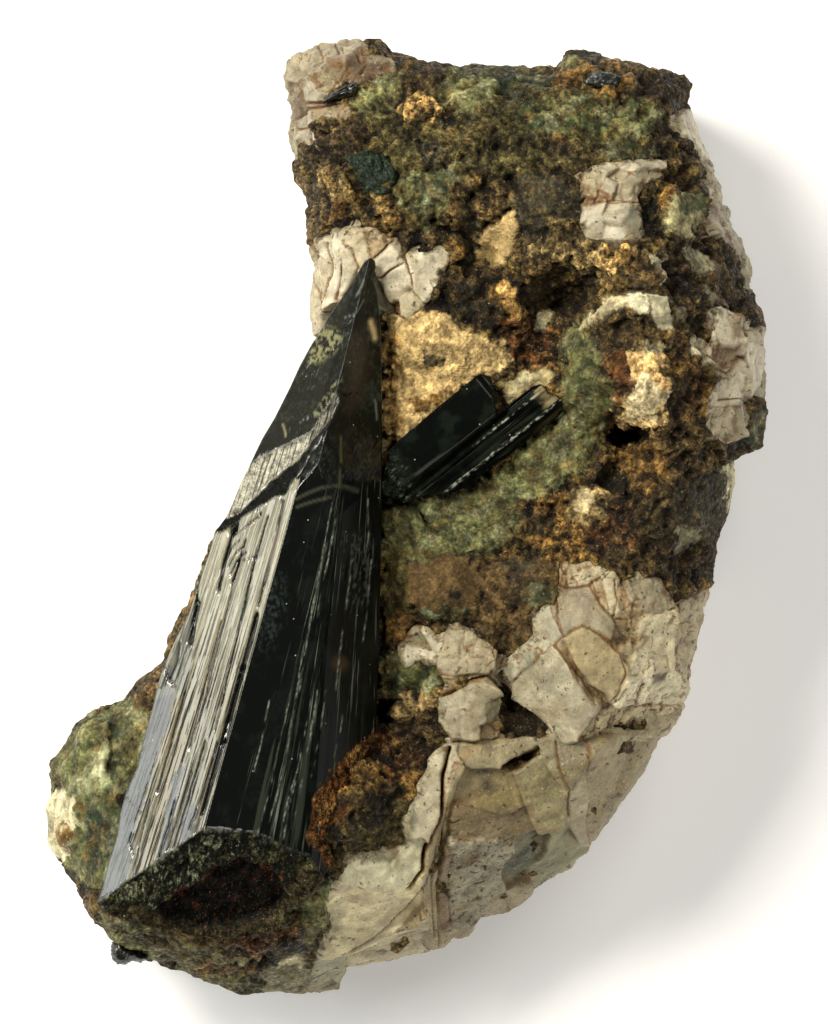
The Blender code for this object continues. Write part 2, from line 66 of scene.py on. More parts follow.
BURIED = drawn("150,850 250,560 330,470 352,500 350,700 300,840 230,880")
FACE_HEIGHTS = drawn("""
    300,66,25 340,60,29 370,50,27 330,92,31 304,120,27 296,160,25 400,72,30 460,82,33 520,84,33 572,62,30
    610,84,34 660,88,32 680,98,29 350,135,34 410,130,36 475,120,37 560,112,37 630,112,36 350,190,36
    420,176,37 500,168,38 580,160,40 672,140,34 325,215,33 560,228,40 620,205,41 678,205,38 714,225,29
    738,262,25 312,240,27 330,265,32 312,310,25 345,320,30 430,228,36 392,262,35 440,288,35 470,212,37
    488,250,31 512,232,36 540,268,40 600,262,42 650,262,43 700,268,38 738,300,31 560,300,32 528,306,33.5
    594,306,36 520,340,32 546,342,32 400,336,35 445,330,34.5 484,340,34.5 506,368,34 425,380,34 392,430,35.5
    575,345,37 604,318,42 645,330,44 650,366,46 640,402,46 606,400,41 625,437,33 655,442,40 684,396,43
    702,352,41 742,350,35 762,362,27 724,418,37 756,430,27 702,470,38 728,490,30 604,474,38 652,500,41
    690,522,37 712,560,28 640,552,38 590,520,37 550,408,34.5 560,470,36 552,510,36 500,480,34 450,515,34
    398,520,35 480,560,35 398,580,35 440,590,36.5 400,625,35 520,600,37 560,570,38 500,645,34.5 510,700,33
    430,650,35 470,655,37.5 468,710,37.5 545,670,39 600,650,39 640,612,38 684,620,32 640,690,35 678,690,28
    600,738,35 640,750,29 400,665,34.5 384,712,32 418,745,34.5 350,770,38.5 384,795,37.5 335,830,40
    446,762,37 436,820,35 424,880,31 412,940,22 500,772,34 545,800,33 582,770,35 580,830,27 622,790,25
    500,850,29 552,862,22 500,900,21 458,900,25 470,930,17 392,850,33 350,895,32 330,935,27 376,932,24
    336,970,17 300,985,15 310,870,38.5 280,945,31 200,950,32 140,930,33 110,915,32 160,962,22 240,985,20
    205,975,20 96,724,23 66,764,21 112,770,27 60,820,19 92,830,25 118,862,30 80,884,22 148,700,24 186,622,24
    222,540,25 200,740,27 260,640,27 300,560,27 340,460,27 330,700,28 240,830,30
""")
# Lumps and pits on that face: x, y, half length, half width, turn in degrees, height, steepness.
FACE_FEATURES = [
    (631, 434, 16, 7, 0, -6.0, 3), (611, 474, 7, 15, 20, -3.0, 3), (548, 303, 22, 11, -4, -1.8, 3),
    (470, 244, 6, 28, 4, -1.2, 3), (500, 240, 18, 28, 24, 0.9, 4), (384, 714, 8, 12, 6, -5.0, 4),
    (588, 362, 25, 46, 0, 2.0, 3), (645, 390, 24, 42, 0, 1.8, 3), (652, 312, 40, 9, -6, 1.8, 3),
    (440, 586, 36, 29, 0, 1.5, 4), (528, 584, 30, 25, 0, 1.4, 4), (352, 802, 44, 38, 0, 1.2, 3),
    (455, 286, 30, 11, -8, 1.8, 3), (505, 300, 14, 18, 0, 1.2, 3), (640, 270, 26, 18, 0, 1.3, 5),
    (602, 577, 6, 4, 0, -1.2, 3), (520, 706, 26, 22, 40, -2.2, 4), (690, 212, 22, 24, 0, 1.4, 3),
    (655, 205, 12, 30, 8, -1.5, 3), (700, 330, 16, 14, 0, -1.4, 3), (112, 748, 4, 32, 2, -1.4, 3),
    (352, 182, 5, 26, -28, -1.8, 3), (424, 112, 18, 8, 0, 1.0, 3), (440, 340, 50, 26, 0, 0.8, 3),
    (545, 470, 24, 34, 0, 0.6, 3), (423, 517, 3, 17, -34, -1.6, 3), (690, 500, 34, 40, 0, 0.8, 3),
    (640, 545, 36, 22, 0, 0.6, 3), (570, 60, 18, 14, 0, 1.0, 3), (530, 132, 26, 10, 12, -0.8, 3),
    (560, 195, 34, 16, -8, 0.8, 3), (590, 238, 22, 7, 12, -1.2, 3), (440, 250, 24, 8, 10, 0.7, 3),
    (400, 308, 14, 12, 0, 0.4, 4),
]


def millimetres(x, y, z):
    """Pixels on the face and heights in millimetres, as places in millimetres in the model's frame."""
    return np.column_stack([(x - MIDDLE_X) * PIXEL, (MIDDLE_Y - y) * PIXEL, z])


def grain(spots, size, layers=3, seed=0):
    """Lumpy noise of about one unit, its lumps `size` millimetres across, at each spot."""
    shift = Vector((17.3 * seed, 9.1 * seed, 5.7 * seed))
    return np.array([noise.fractal(Vector(p) + shift, 0.8, 2.0, layers) for p in (spots / size).tolist()])


def chips(spots, size, seed=0, metric="DISTANCE"):
    """Splits space into chips: the gap to the next chip, a number for each chip, and its middle."""
    shift = Vector((13.1 * seed, 7.7 * seed, 3.3 * seed))
    gap, home = [], []
    for p in (spots / size).tolist():
        reach, points = noise.voronoi(Vector(p) + shift, distance_metric=metric)
        gap.append(reach[1] - reach[0])
        home.append((points[0] - shift)[:])
    home = np.array(home)
    number = np.modf(np.abs(np.sin(home @ np.array([12.9, 78.2, 37.7]))) * 4375.85)[0]
    return np.array(gap) * size, number, home * size


def rubble(spots, size, seed=0, steep=0.4):
    """Angular chips shoulder to shoulder, in millimetres of height, each turned its own way."""
    shift = Vector((13.1 * seed, 7.7 * seed, 3.3 * seed))
    home = np.array([[h[:] for h in noise.voronoi(Vector(p) + shift)[1]] for p in (spots / size).tolist()])
    away = (spots / size)[:, None] + np.array(shift) - home
    key = home @ np.array([12.9, 78.2, 37.7])
    reach = np.zeros(key.shape)
    for turn in (1.0, 2.3, 4.1):
        side = np.stack([np.sin(key * turn), np.cos(key * turn), 0.7 * np.sin(key * turn * 1.7 + 1)], axis=-1)
        reach = np.maximum(reach, np.abs((away * side).sum(axis=-1)))
    height = 0.6 * np.modf(np.abs(np.sin(key)) * 4375.85)[0] - reach
    return (height.max(axis=1) + 0.1) * size * steep


def smooth_step(value, low, high):
    """A smooth rise from 0 to 1 as the value goes from low to high."""
    share = np.clip((value - low) / (high - low), 0.0, 1.0)
    return share * share * (3 - 2 * share)


def patches(places, size, layers, seed, low, high):
    """Patches of noise, as a share that rises as the noise goes from low to high."""
    return smooth_step(grain(places, size, layers, seed), low, high)


def distance_to_line(x, y, points):
    """Distance in pixels from each spot to an open line of points."""
    best = np.full(x.shape, 1e6)
    for (ax, ay), (bx, by) in zip(points, points[1:]):
        run = np.clip(((x - ax) * (bx - ax) + (y - ay) * (by - ay)) / ((bx - ax) ** 2 + (by - ay) ** 2), 0, 1)
        best = np.minimum(best, np.hypot(x - ax - run * (bx - ax), y - ay - run * (by - ay)))
    return best


def depth_inside(x, y, corners, reach=14.0):
    """How far inside an outline each spot is, in pixels: negative outside, down to minus the reach."""
    cx, cy = np.array(corners, float).T
    depth = np.full(x.shape, -reach)
    near = (x > cx.min() - reach) & (x < cx.max() + reach) & (y > cy.min() - reach) & (y < cy.max() + reach)
    px, py = x[near], y[near]
    best = np.full(px.shape, 1e6)
    within = np.zeros(px.shape, bool)
    for ax, ay, bx, by in zip(np.roll(cx, 1), np.roll(cy, 1), cx, cy):
        best = np.minimum(best, distance_to_line(px, py, [(ax, ay), (bx, by)]))
        if ay != by:
            within ^= ((ay > py) != (by > py)) & (px < (bx - ax) * (py - ay) / (by - ay) + ax)
    depth[near] = np.where(within, best, np.maximum(-best, -reach))
    return depth


def evenly_along(corners, step):
    """Points about one step apart round a closed outline, each corner kept."""
    points = []
    for (ax, ay), (bx, by) in zip(corners, corners[1:] + corners[:1]):
        count = max(1, round(math.hypot(bx - ax, by - ay) / step))
        points += [(ax + (bx - ax) * i / count, ay + (by - ay) * i / count) for i in range(count)]
    return points


ROUNDING = 36.0  # how round the surface is over each stated height, in square pixels


def surface_through(stated):
    """A rounded surface through stated heights, as a function of x and y."""
    at, heights = np.array(stated)[:, :2], np.array(stated)[:, 2]
    mean = heights.mean()
    reach = np.hypot(at[:, None, 0] - at[None, :, 0], at[:, None, 1] - at[None, :, 1])
    weights = np.linalg.solve(np.sqrt(reach**2 + ROUNDING), heights - mean)

    def height(x, y):
        total = np.full(x.shape, mean)
        for (sx, sy), weight in zip(at, weights):
            total += weight * np.sqrt((x - sx) ** 2 + (y - sy) ** 2 + ROUNDING)
        return total

    return height


def raised_or_sunk(x, y, features):
    """Height that lumps and pits add at each spot, in millimetres."""
    total = np.zeros(x.shape)
    for fx, fy, long, wide, turn, height, steep in features:
        c, s = math.cos(math.radians(turn)), math.sin(math.radians(turn))
        u = ((x - fx) * c + (y - fy) * s) / long
        v = ((y - fy) * c - (x - fx) * s) / wide
        total += height * np.exp(-0.7 * (np.abs(u) ** steep + np.abs(v) ** steep))
    return total


# Feldspar grew in the rock as white blocks. These outlines say where each mass comes to the surface;
# the rock's skin is drawn back there, and the mass fills the hollow. Lowest height in millimetres last.
MASS_OUTLINES = {
    "feldspar_crown": (drawn("""
        250,20 345,20 362,40 374,52 394,58 394,68 378,76 358,82 344,83 330,90 322,98 330,103 346,104 354,112
        348,120 325,119 314,126 322,138 314,150 304,144 300,158 250,160
    """), 15),
    "feldspar_block_row": (drawn("""
        250,226 310,244 320,232 336,232 352,226 376,226 388,238 398,240 405,254 440,246 452,252 446,268
        438,282 432,298 420,310 406,320 394,314 384,316 376,330 350,352 250,360
    """), 9),
    "feldspar_right_strip": (drawn("""
        668,112 690,108 760,100 820,290 748,290 744,270 735,255 722,243 706,237 702,222 708,205 710,190
        706,166 695,151 684,140 672,130
    """), 7),
    "feldspar_right_cluster": (drawn("""
        706,312 720,306 736,316 742,312 762,326 820,330 820,396 758,400 750,424 736,440 718,446 708,432
        703,415 706,400 716,384 724,378 706,360 688,342 700,338 716,348 710,332
    """), 10),
    "feldspar_upper_cluster": (drawn("""
        574,176 592,168 608,160 640,158 666,161 664,174 650,184 637,196 641,207 643,240 632,246 608,246
        588,239 580,224 582,206 588,198 578,188
    """), 30),
    "feldspar_middle_pair": (drawn("""
        398,646 412,634 426,628 440,634 458,625 474,632 485,640 495,653 493,668 486,676 498,690 500,735
        486,741 452,741 440,722 438,697 444,684 438,668 420,660 406,669 398,660
    """), 30),
    "feldspar_lower_cluster": (drawn("""
        560,562 585,556 615,570 622,584 640,574 662,580 670,600 674,614 686,598 712,584 780,570 780,736
        668,738 604,737 562,745 545,722 520,696 500,676 502,662 518,648 534,636 530,614 545,602 555,604
        556,590 560,576
    """), -5),
    "feldspar_foot": (drawn("""
        446,744 500,740 540,737 556,731 572,742 604,737 668,738 780,736 780,1060 304,1060 308,985 318,950
        332,928 320,904 336,878 345,858 380,849 402,839 408,815 418,785 430,760
    """), -5),
}
stated_height = surface_through(FACE_HEIGHTS)


def face_height(x, y):
    """The broken face without its fine relief: rounded over towards the rim, and 80% as high there."""
    shoulder_width = 22.0
    shoulder = np.clip(depth_inside(x, y, ROCK_EDGE) / shoulder_width, 0.0, 1.0)
    level = stated_height(x, y) + raised_or_sunk(x, y, FACE_FEATURES)
    return level * (0.8 + 0.2 * (1 - (1 - shoulder) ** 2))


def fill_outline(rim, spots):
    """Triangles over an outline and the spots inside it."""
    loop = [(i, (i + 1) % len(rim)) for i in range(len(rim))]
    flat = [Vector(p) for p in rim] + [Vector(p) for p in spots]
    points, _, triangles, _, _, _ = delaunay_2d_cdt(flat, loop, [], 1, 1e-6)
    return np.array([p[:] for p in points]), [tuple(t) for t in triangles]


def grid_inside(corners, step, clear=0.55):
    """Spots in rows about one step apart inside an outline, clear of its rim."""
    cx, cy = np.array(corners, float).T
    rows = np.arange(cy.min(), cy.max(), step * 0.866)
    columns = np.arange(cx.min(), cx.max(), step)
    spots = np.array([(x + (step / 2 if i % 2 else 0), y) for i, y in enumerate(rows) for x in columns])
    return spots[depth_inside(spots[:, 0], spots[:, 1], corners) > clear * step]


def nearest_on_spine(x, y):
    """The spot on the rock's middle line that its wall leans towards."""
    best = None
    for (ax, ay), (bx, by) in zip(SPINE, SPINE[1:]):
        run = ((x - ax) * (bx - ax) + (y - ay) * (by - ay)) / ((bx - ax) ** 2 + (by - ay) ** 2)
        run = min(1.0, max(0.0, run))
        spot = (ax + run * (bx - ax), ay + run * (by - ay))
        if best is None or math.dist(spot, (x, y)) < math.dist(best, (x, y)):
            best = spot
    return best


# The skin: the face, closest where the crust is bare, then rows of the leaning walls down to the back.
rim = evenly_along(ROCK_EDGE, SKIN_STEP)
fine_spots, wide_spots = grid_inside(ROCK_EDGE, FINE_STEP), grid_inside(ROCK_EDGE, SKIN_STEP)
SPAR_MARGIN = 9
in_spar = [
    np.max([depth_inside(*spots.T, outline) for outline, _ in MASS_OUTLINES.values()], axis=0) > SPAR_MARGIN
    for spots in (fine_spots, wide_spots)
]
face_spots = np.vstack([fine_spots[~in_spar[0]], wide_spots[in_spar[1]]])
hidden = depth_inside(*face_spots.T, BURIED) > 0
KEPT_UNDER_CRYSTAL = 0.05
rng = np.random.default_rng(5)
face_spots = face_spots[~hidden | (rng.random(len(face_spots)) < KEPT_UNDER_CRYSTAL)]
face_points, skin_faces = fill_outline(rim, face_spots)
skin_x, skin_y = face_points.T.copy()
skin_z = face_height(skin_x, skin_y)
skin_share = np.ones(len(skin_x))
skin_home_x, skin_home_y = skin_x.copy(), skin_y.copy()
rim_count = len(rim)
above = np.arange(rim_count)
inward = np.array([nearest_on_spine(x, y) for x, y in rim])
rim_xy, rim_z = np.array(rim), skin_z[:rim_count].copy()
WALL_ROWS, WALL_LEAN, LEAN_CURVE = 34, 0.26, 1.7
WALL_MIDDLE_X, CHIPS_PER_METRE = 405.0, 90
rim_metres = [((x - WALL_MIDDLE_X) * PIXEL / 1000, (MIDDLE_Y - y) * PIXEL / 1000) for x, y in rim]
for row in range(1, WALL_ROWS + 1):
    share = 1.0 - (row / WALL_ROWS) ** 1.08
    chipped = [noise.noise(Vector((*spot, share * 0.02)) * CHIPS_PER_METRE) for spot in rim_metres]
    lean = WALL_LEAN * (1 - share) ** LEAN_CURVE * (1 + 0.55 * np.array(chipped))
    row_xy = rim_xy + (inward - rim_xy) * lean[:, None]
    below = np.arange(len(skin_x), len(skin_x) + rim_count)
    skin_x, skin_y = np.append(skin_x, row_xy[:, 0]), np.append(skin_y, row_xy[:, 1])
    skin_z = np.append(skin_z, rim_z * share)
    skin_share = np.append(skin_share, np.full(rim_count, share))
    skin_home_x, skin_home_y = np.append(skin_home_x, rim_xy[:, 0]), np.append(skin_home_y, rim_xy[:, 1])
    for i in range(rim_count):
        after = (i + 1) % rim_count
        skin_faces.append((above[after], above[i], below[i], below[after]))
    above = below
back_face = tuple(int(i) for i in above[::-1])


def outward_normals(places, faces):
    """Unit normals of a skin at its points, pointing up or away from the middle."""
    mesh = bpy.data.meshes.new("measure")
    mesh.from_pydata(places.tolist(), [], [list(map(int, f)) for f in faces])
    normals = np.empty(len(places) * 3, np.float32)
    mesh.vertices.foreach_get("normal", normals)
    bpy.data.meshes.remove(mesh)
    return normals.reshape(-1, 3).astype(float)


skin_places = millimetres(skin_x, skin_y, skin_z)
skin_normals = outward_normals(skin_places, skin_faces + [back_face])
if skin_normals[rim_count:len(face_points), 2].mean() < 0:
    skin_normals = -skin_normals
    skin_faces = [f[::-1] for f in skin_faces]
    back_face = back_face[::-1]

skin_warp = 1.7 * grain(skin_places, 2.6, 3, 11)
skin_warp_y = 1.7 * grain(skin_places, 2.6, 3, 12)


def mass_depth(name, x, y, z, on_wall, warp_x, warp_y):
    """How far inside a mass each spot of the skin is, in millimetres."""
    outline, lowest = MASS_OUTLINES[name]
    depth = depth_inside(x + warp_x, y + warp_y, outline) * PIXEL
    return np.where(on_wall, np.minimum(depth, z - lowest + 0.6 * warp_x), depth)


on_wall = skin_share < 1.0
skin_masses = {
    name: mass_depth(name, skin_home_x, skin_home_y, skin_z, on_wall, skin_warp, skin_warp_y)
    for name in MASS_OUTLINES
}
next_mass, nearest_mass = np.sort(list(skin_masses.values()), axis=0)[-2:]

# Where each mineral of the groundmass shows: colour, then outline. Later ones lie over earlier ones.
# The last number tells how gritty the surface is there, from 0 for smooth to 1 for crusty. A few dark patches
# are painted shade in pits, hollows and a slit, and one is a painted shadow beside the second crystal.
SAND, TAN, OCHRE, GOLD = (158, 136, 92), (120, 102, 66), (118, 88, 44), (210, 170, 106)
BROWN, UMBER, RUST, BLACK = (88, 70, 43), (52, 41, 25), (92, 56, 26), (22, 20, 13)
SAGE, MOSS, PINE, OLIVE = (108, 112, 74), (76, 84, 50), (42, 56, 38), (80, 74, 42)
CREAM, MILK, ASH, SLATE = (204, 176, 124), (216, 208, 176), (142, 138, 112), (54, 52, 42)
GROUND_PATCHES = [
    (OLIVE, "392,60 470,64 560,72 640,80 640,160 560,170 470,175 400,200 360,120", 0.8),
    (UMBER, "300,118 350,120 372,130 366,160 345,160 340,190 316,180 304,150", 1.0),
    (OCHRE, "306,190 345,188 350,212 322,226 310,215", 1.0),
    (TAN, "296,170 330,165 348,190 330,200 312,250 306,230 304,196", 1.0),
    (UMBER, "392,62 450,70 456,82 440,90 430,100 400,104 390,90", 0.9),
    (SAGE, "372,75 392,64 402,78 398,98 380,118 352,118 354,102 366,88", 0.5),
    (PINE, "452,62 484,58 520,64 562,68 552,84 520,90 500,90 480,74 456,76", 0.5),
    (SAGE, "434,92 450,82 470,76 492,80 500,92 486,104 462,118 442,112", 0.4),
    (GOLD, "398,105 420,102 440,104 442,114 430,119 404,115", 1.0),
    (BLACK, "440,108 452,106 456,122 448,132 440,122", 0.8),
    (MOSS, "500,100 540,94 600,98 640,102 662,114 666,130 640,141 590,138 530,130", 0.5),
    (PINE, "530,118 560,112 566,130 545,138 530,130", 0.5),
    (SAGE, "612,108 640,108 640,130 620,136 610,122", 0.4),
    (SLATE, "414,145 430,138 446,146 444,166 424,168", 0.9),
    (SAGE, "400,176 430,170 470,158 480,168 450,186 446,206 440,226 412,224 396,204", 0.5),
    (PINE, "412,190 450,172 480,162 480,170 452,188 440,200 416,202", 0.4),
    (BROWN, "450,196 500,190 500,216 452,224", 1.0),
    (SLATE, "530,190 548,176 590,180 600,196 576,214 548,216 536,208", 0.9),
    (BLACK, "545,145 566,140 572,156 552,162", 0.8),
    (PINE, "598,150 620,142 655,146 652,156 620,160 600,160", 0.4),
    (OCHRE, "562,60 600,62 640,76 650,92 600,98 560,92 550,80", 0.9),
    (UMBER, "640,72 690,74 694,110 670,110 640,96", 0.9), (SAGE, "560,54 570,48 582,50 582,66 562,68", 0.4),
    (SLATE, "582,48 604,54 610,62 584,62", 0.5),
    (UMBER, "680,146 700,160 712,172 710,194 702,186 694,170 676,156", 0.9),
    (OCHRE, "662,164 680,166 692,180 676,196 664,212 660,184", 0.9),
    (BLACK, "642,196 656,186 664,200 658,236 644,238 642,214", 0.9),
    ((168, 162, 124), "666,208 680,192 700,190 706,206 698,222 684,236 668,232", 0.2),
    (MOSS, "676,196 702,190 706,206 694,218 680,212", 0.2),
    (SAND, "540,224 580,230 640,246 652,262 630,280 590,282 556,262 530,252", 1.0),
    (GOLD, "598,242 634,248 632,262 610,270 596,256", 1.0),
    (OCHRE, "622,256 656,256 656,280 640,290 622,280", 1.0),
    (SLATE, "636,278 660,272 662,290 640,294", 0.8),
    # painted shade in the slit sunk at 470,244
    (SLATE, "460,212 480,208 482,236 476,270 462,274 460,244", 0.7),
    (CREAM, "477,268 481,238 488,228 498,220 508,212 521,209 518,226 515,249 505,262 494,271", 0.05),
    (TAN, "478,270 481,242 492,236 502,250 498,270", 0.1),
    (SLATE, "515,178 540,172 566,182 582,196 574,208 546,222 526,242 517,232", 0.5),
    (BLACK, "526,246 534,244 540,252 534,260 526,256", 0.5),
    (SAND, "545,216 578,218 602,240 598,268 566,266 546,244", 0.9),
    (UMBER, "664,246 700,240 740,262 752,300 764,326 740,312 706,306 684,300 666,296", 0.9),
    (BROWN, "700,262 730,262 746,300 722,304 700,284", 0.7),
    (BLACK, "664,276 682,280 694,300 690,312 668,302", 0.9),
    (ASH, "684,246 698,246 712,270 706,276 690,262", 0.3),
    (SLATE, "716,238 744,262 752,290 738,286 726,262", 0.6),
    (UMBER, "520,284 590,276 600,292 594,314 560,322 530,312 516,300", 0.7),
    # painted shade in the hollow sunk at 548,303
    (BLACK, "524,288 560,286 572,302 560,318 532,312", 0.3),
    (UMBER, "440,268 480,262 500,276 520,300 540,330 520,360 500,336 460,316 430,312", 1.0),
    (OCHRE, "490,284 514,284 518,300 514,316 502,314 494,300", 0.7),
    (GOLD, "496,286 508,286 510,306 502,306", 0.6),
    (SLATE, "436,296 460,288 486,292 490,308 460,314 438,310", 0.9),
    (BLACK, "454,288 474,284 490,290 490,314 470,318 456,306", 0.4),
    (RUST, "500,318 540,318 560,332 548,372 520,366 506,344", 1.0),
    (CREAM,
     "383,308 400,317 440,312 470,328 500,344 510,360 500,374 480,374 450,398 420,424 392,448 382,470 "
     "380,440", 0.25), (GOLD, "384,330 398,330 402,420 390,440 382,430", 0.4),
    (OCHRE, "412,402 440,392 464,380 462,388 440,404 414,418", 0.4),
    (SLATE, "420,346 440,348 436,364 424,366", 0.6),
    ((172, 158, 118), "500,382 520,374 548,368 558,380 530,388 508,402 500,396", 0.12),
    ((206, 196, 160), "512,380 530,372 540,376 522,388 508,394", 0.1),
    # painted shadow at the notch between the second crystal's blade and rods
    (BLACK, "493,390 503,400 506,410 497,418", 0.5),
    (SAGE,
     "384,498 405,504 455,493 476,488 505,461 548,428 567,406 578,398 606,410 600,440 590,470 560,480 "
     "540,505 510,530 492,552 440,562 384,562", 0.35), (OLIVE, "384,540 412,545 408,620 384,626", 0.3),
    (ASH, "536,314 546,311 553,318 548,328 538,327", 0.2),
    (SAGE, "563,336 585,318 606,322 612,345 606,380 600,412 580,420 562,392", 0.3),
    (UMBER, "586,320 612,318 640,322 650,340 636,352 614,378 604,380 598,350", 0.9),
    (MOSS, "580,384 602,380 612,392 604,418 588,416", 0.3),
    (BROWN, "604,420 680,420 704,440 690,480 640,490 620,520 594,540 578,520 590,480 598,450", 0.9),
    (OCHRE, "612,440 660,446 664,490 640,500 612,470", 0.8),
    # painted shade in the pit sunk at 611,474
    (BLACK, "602,462 618,458 622,480 610,498 600,484", 0.7),
    (OCHRE, "664,340 700,345 720,380 706,412 684,420 668,400 662,366", 0.9),
    (SAND, "628,340 664,345 670,380 668,420 640,432 616,424 612,398 622,370", 0.9),
    ((240, 200, 138), "630,352 662,352 668,400 652,426 620,422 622,392", 0.45),
    (RUST, "612,350 628,346 636,368 630,396 616,400 610,372", 0.6),
    ((244, 226, 184), "637,377 652,380 667,394 656,412 640,420 622,410 630,392", 0.3),
    (UMBER, "668,370 686,378 686,410 672,416 664,396", 0.7),
    (ASH, "636,346 652,345 668,347 666,354 640,354", 0.3),
    # painted shade in the deep pit under the gold lump
    (BLACK, "615,428 646,428 650,440 640,444 616,440", 0.5),
    (UMBER, "636,500 680,470 728,470 734,500 720,545 716,580 664,584 600,566 590,540 620,520", 0.7),
    (SLATE, "676,476 726,474 732,500 724,530 700,540 676,520", 0.4),
    (ASH, "674,524 700,532 690,548 676,552", 0.2), (BLACK, "632,506 664,512 660,530 640,536 628,524", 0.6),
    (RUST, "588,510 620,504 640,540 610,548 590,536", 0.8),
    (SAND, "556,508 566,494 584,486 604,492 600,518 578,528 560,522", 0.6),
    ((206, 188, 148), "574,500 584,491 594,496 592,508 580,514", 0.15),
    (OCHRE, "520,500 562,486 568,522 590,530 586,560 552,566 530,548", 1.0),
    (BLACK, "522,520 545,512 552,526 536,540 524,534", 0.8),
    (SLATE, "706,170 712,176 708,196 700,186", 0.6),
    (PINE, "752,420 765,404 773,420 766,443 752,449 742,442 740,430", 0.3),
    (UMBER, "720,440 740,432 750,448 736,464 718,460", 0.8),
    (MILK, "722,466 736,462 742,482 734,514 726,506 728,486", 0.2),
    (BROWN, "634,254 665,261 664,292 630,292", 0.8), (SLATE, "631,279 657,281 656,290 632,291", 0.4),
    (BROWN, "592,322 616,314 644,316 658,334 650,347 616,348 594,340", 0.7),
    ((204, 192, 158), "580,331 600,309 624,295 634,303 618,310 602,316 590,326", 0.08),
    ((216, 210, 184), "626,291 646,292 649,314 640,315 630,308", 0.0),
    ((192, 186, 160), "647,292 667,299 671,331 656,331 650,314", 0.0),
    ((126, 116, 88), "674,304 684,301 690,316 682,325 674,318", 0.3),
    (UMBER, "688,312 704,314 712,330 700,338 688,330", 0.8), (ASH, "705,286 716,290 716,304 707,304", 0.2),
    (MILK, "650,252 664,258 667,268 664,292 659,292 661,266 652,257", 0.2),
    (MILK, "692,338 714,360 728,380 722,382 704,364 688,344", 0.2),
    (BROWN, "480,550 500,556 560,560 560,600 530,640 510,650 484,640 470,614", 0.5),
    (BROWN, "406,572 420,560 446,556 474,562 481,586 474,608 450,616 420,614 407,596", 0.12),
    (BLACK, "446,592 460,591 460,600 448,601", 0.2),
    (PINE, "421,606 446,610 470,608 472,617 446,622 424,620", 0.3),
    (UMBER, "488,594 494,594 493,626 500,648 492,650 486,628", 0.3),
    (SLATE, "504,562 530,558 536,574 512,582", 0.4), (PINE, "526,584 546,581 550,602 536,610 526,602", 0.3),
    (BLACK, "506,600 517,600 516,605 507,605", 0.3),
    (BROWN, "496,610 520,607 534,618 530,640 508,644 497,630", 0.5),
    (OCHRE, "380,616 412,614 422,626 418,642 394,646 380,644", 0.6),
    (MOSS, "380,650 402,656 420,662 440,664 442,690 424,697 384,696", 0.3),
    (PINE, "376,680 396,674 404,690 400,700 378,698", 0.4),
    (SAND, "378,697 404,694 440,694 446,708 420,714 392,712 378,706", 0.7),
    # painted shade in the pit sunk at 384,714
    (BLACK, "378,702 392,703 393,728 379,730", 0.5),
    (UMBER, "374,720 420,716 448,722 446,744 428,764 400,760 366,760", 0.9),
    (RUST, "356,736 384,730 404,746 420,760 404,786 370,780 340,770", 1.0),
    (OCHRE, "330,770 362,756 392,772 384,792 350,792 322,790", 0.8),
    (OCHRE, "400,770 424,762 416,786 404,800", 0.9),
    (BLACK, "304,800 350,796 400,796 402,818 372,834 330,842 304,832", 0.6),
    (RUST, "308,808 348,806 346,822 316,826", 0.5),
    (OLIVE, "342,850 350,836 384,828 404,800 412,806 402,838 372,850 345,862", 0.5),
    (BLACK, "492,652 504,648 510,676 500,690 490,676", 0.6),
    (UMBER, "498,680 516,692 545,722 552,733 540,738 500,739", 0.7),
    (SAGE,
     "60,740 85,715 122,698 152,704 150,740 135,790 118,835 100,890 80,885 60,860 48,820 48,770", 0.3),
    (SAGE, "117,705 150,704 150,745 136,790 118,792", 0.3),
    (MOSS, "80,800 118,796 126,830 112,872 96,886 82,850", 0.2),
    (PINE, "86,802 112,812 110,850 96,872 84,846", 0.2),
    ((150, 154, 118), "112,736 101,748 88,765 66,782 52,790 78,796 100,790 114,790 116,760", 0.12),
    ((196, 198, 162), "106,752 98,762 88,774 78,784 96,782 106,772", 0.06),
    (PINE, "109,718 118,720 118,788 111,792", 0.2),
    (MILK, "36,798 56,790 76,800 74,830 66,862 36,856", 0.15), (OCHRE, "58,826 70,828 70,850 58,848", 0.5),
    (BLACK, "116,796 131,796 130,816 118,816", 0.3),
    (BROWN, "122,700 138,680 162,662 160,690 150,706 130,704", 0.7),
    (OCHRE, "176,620 184,604 194,596 194,620 182,636", 0.6),
    (ASH, "192,590 204,560 216,520 240,500 226,540 206,580", 0.4),
    (BROWN, "96,898 150,916 300,925 300,950 200,950 110,940", 0.6),
    (SAGE, "96,916 150,920 200,945 250,962 262,1000 184,980 130,960 100,940", 0.5),
    (OLIVE, "150,920 190,936 210,960 180,968 140,950", 0.5),
    (OCHRE, "196,962 260,972 256,984 200,976", 0.7), (RUST, "230,925 300,925 300,948 240,950", 0.9),
    (BLACK, "266,954 284,944 324,934 308,958 290,962", 0.3),
    (ASH, "262,972 300,966 350,960 344,1000 262,1004", 0.2), (MILK, "278,962 302,958 300,970 282,970", 0.2),
    (SAGE, "296,888 330,878 346,898 330,926 312,950 298,926", 0.4),
]


def skin_grain(size, layers, seed):
    """Noise over the skin, its lumps `size` millimetres across."""
    return grain(skin_places, size, layers, seed)


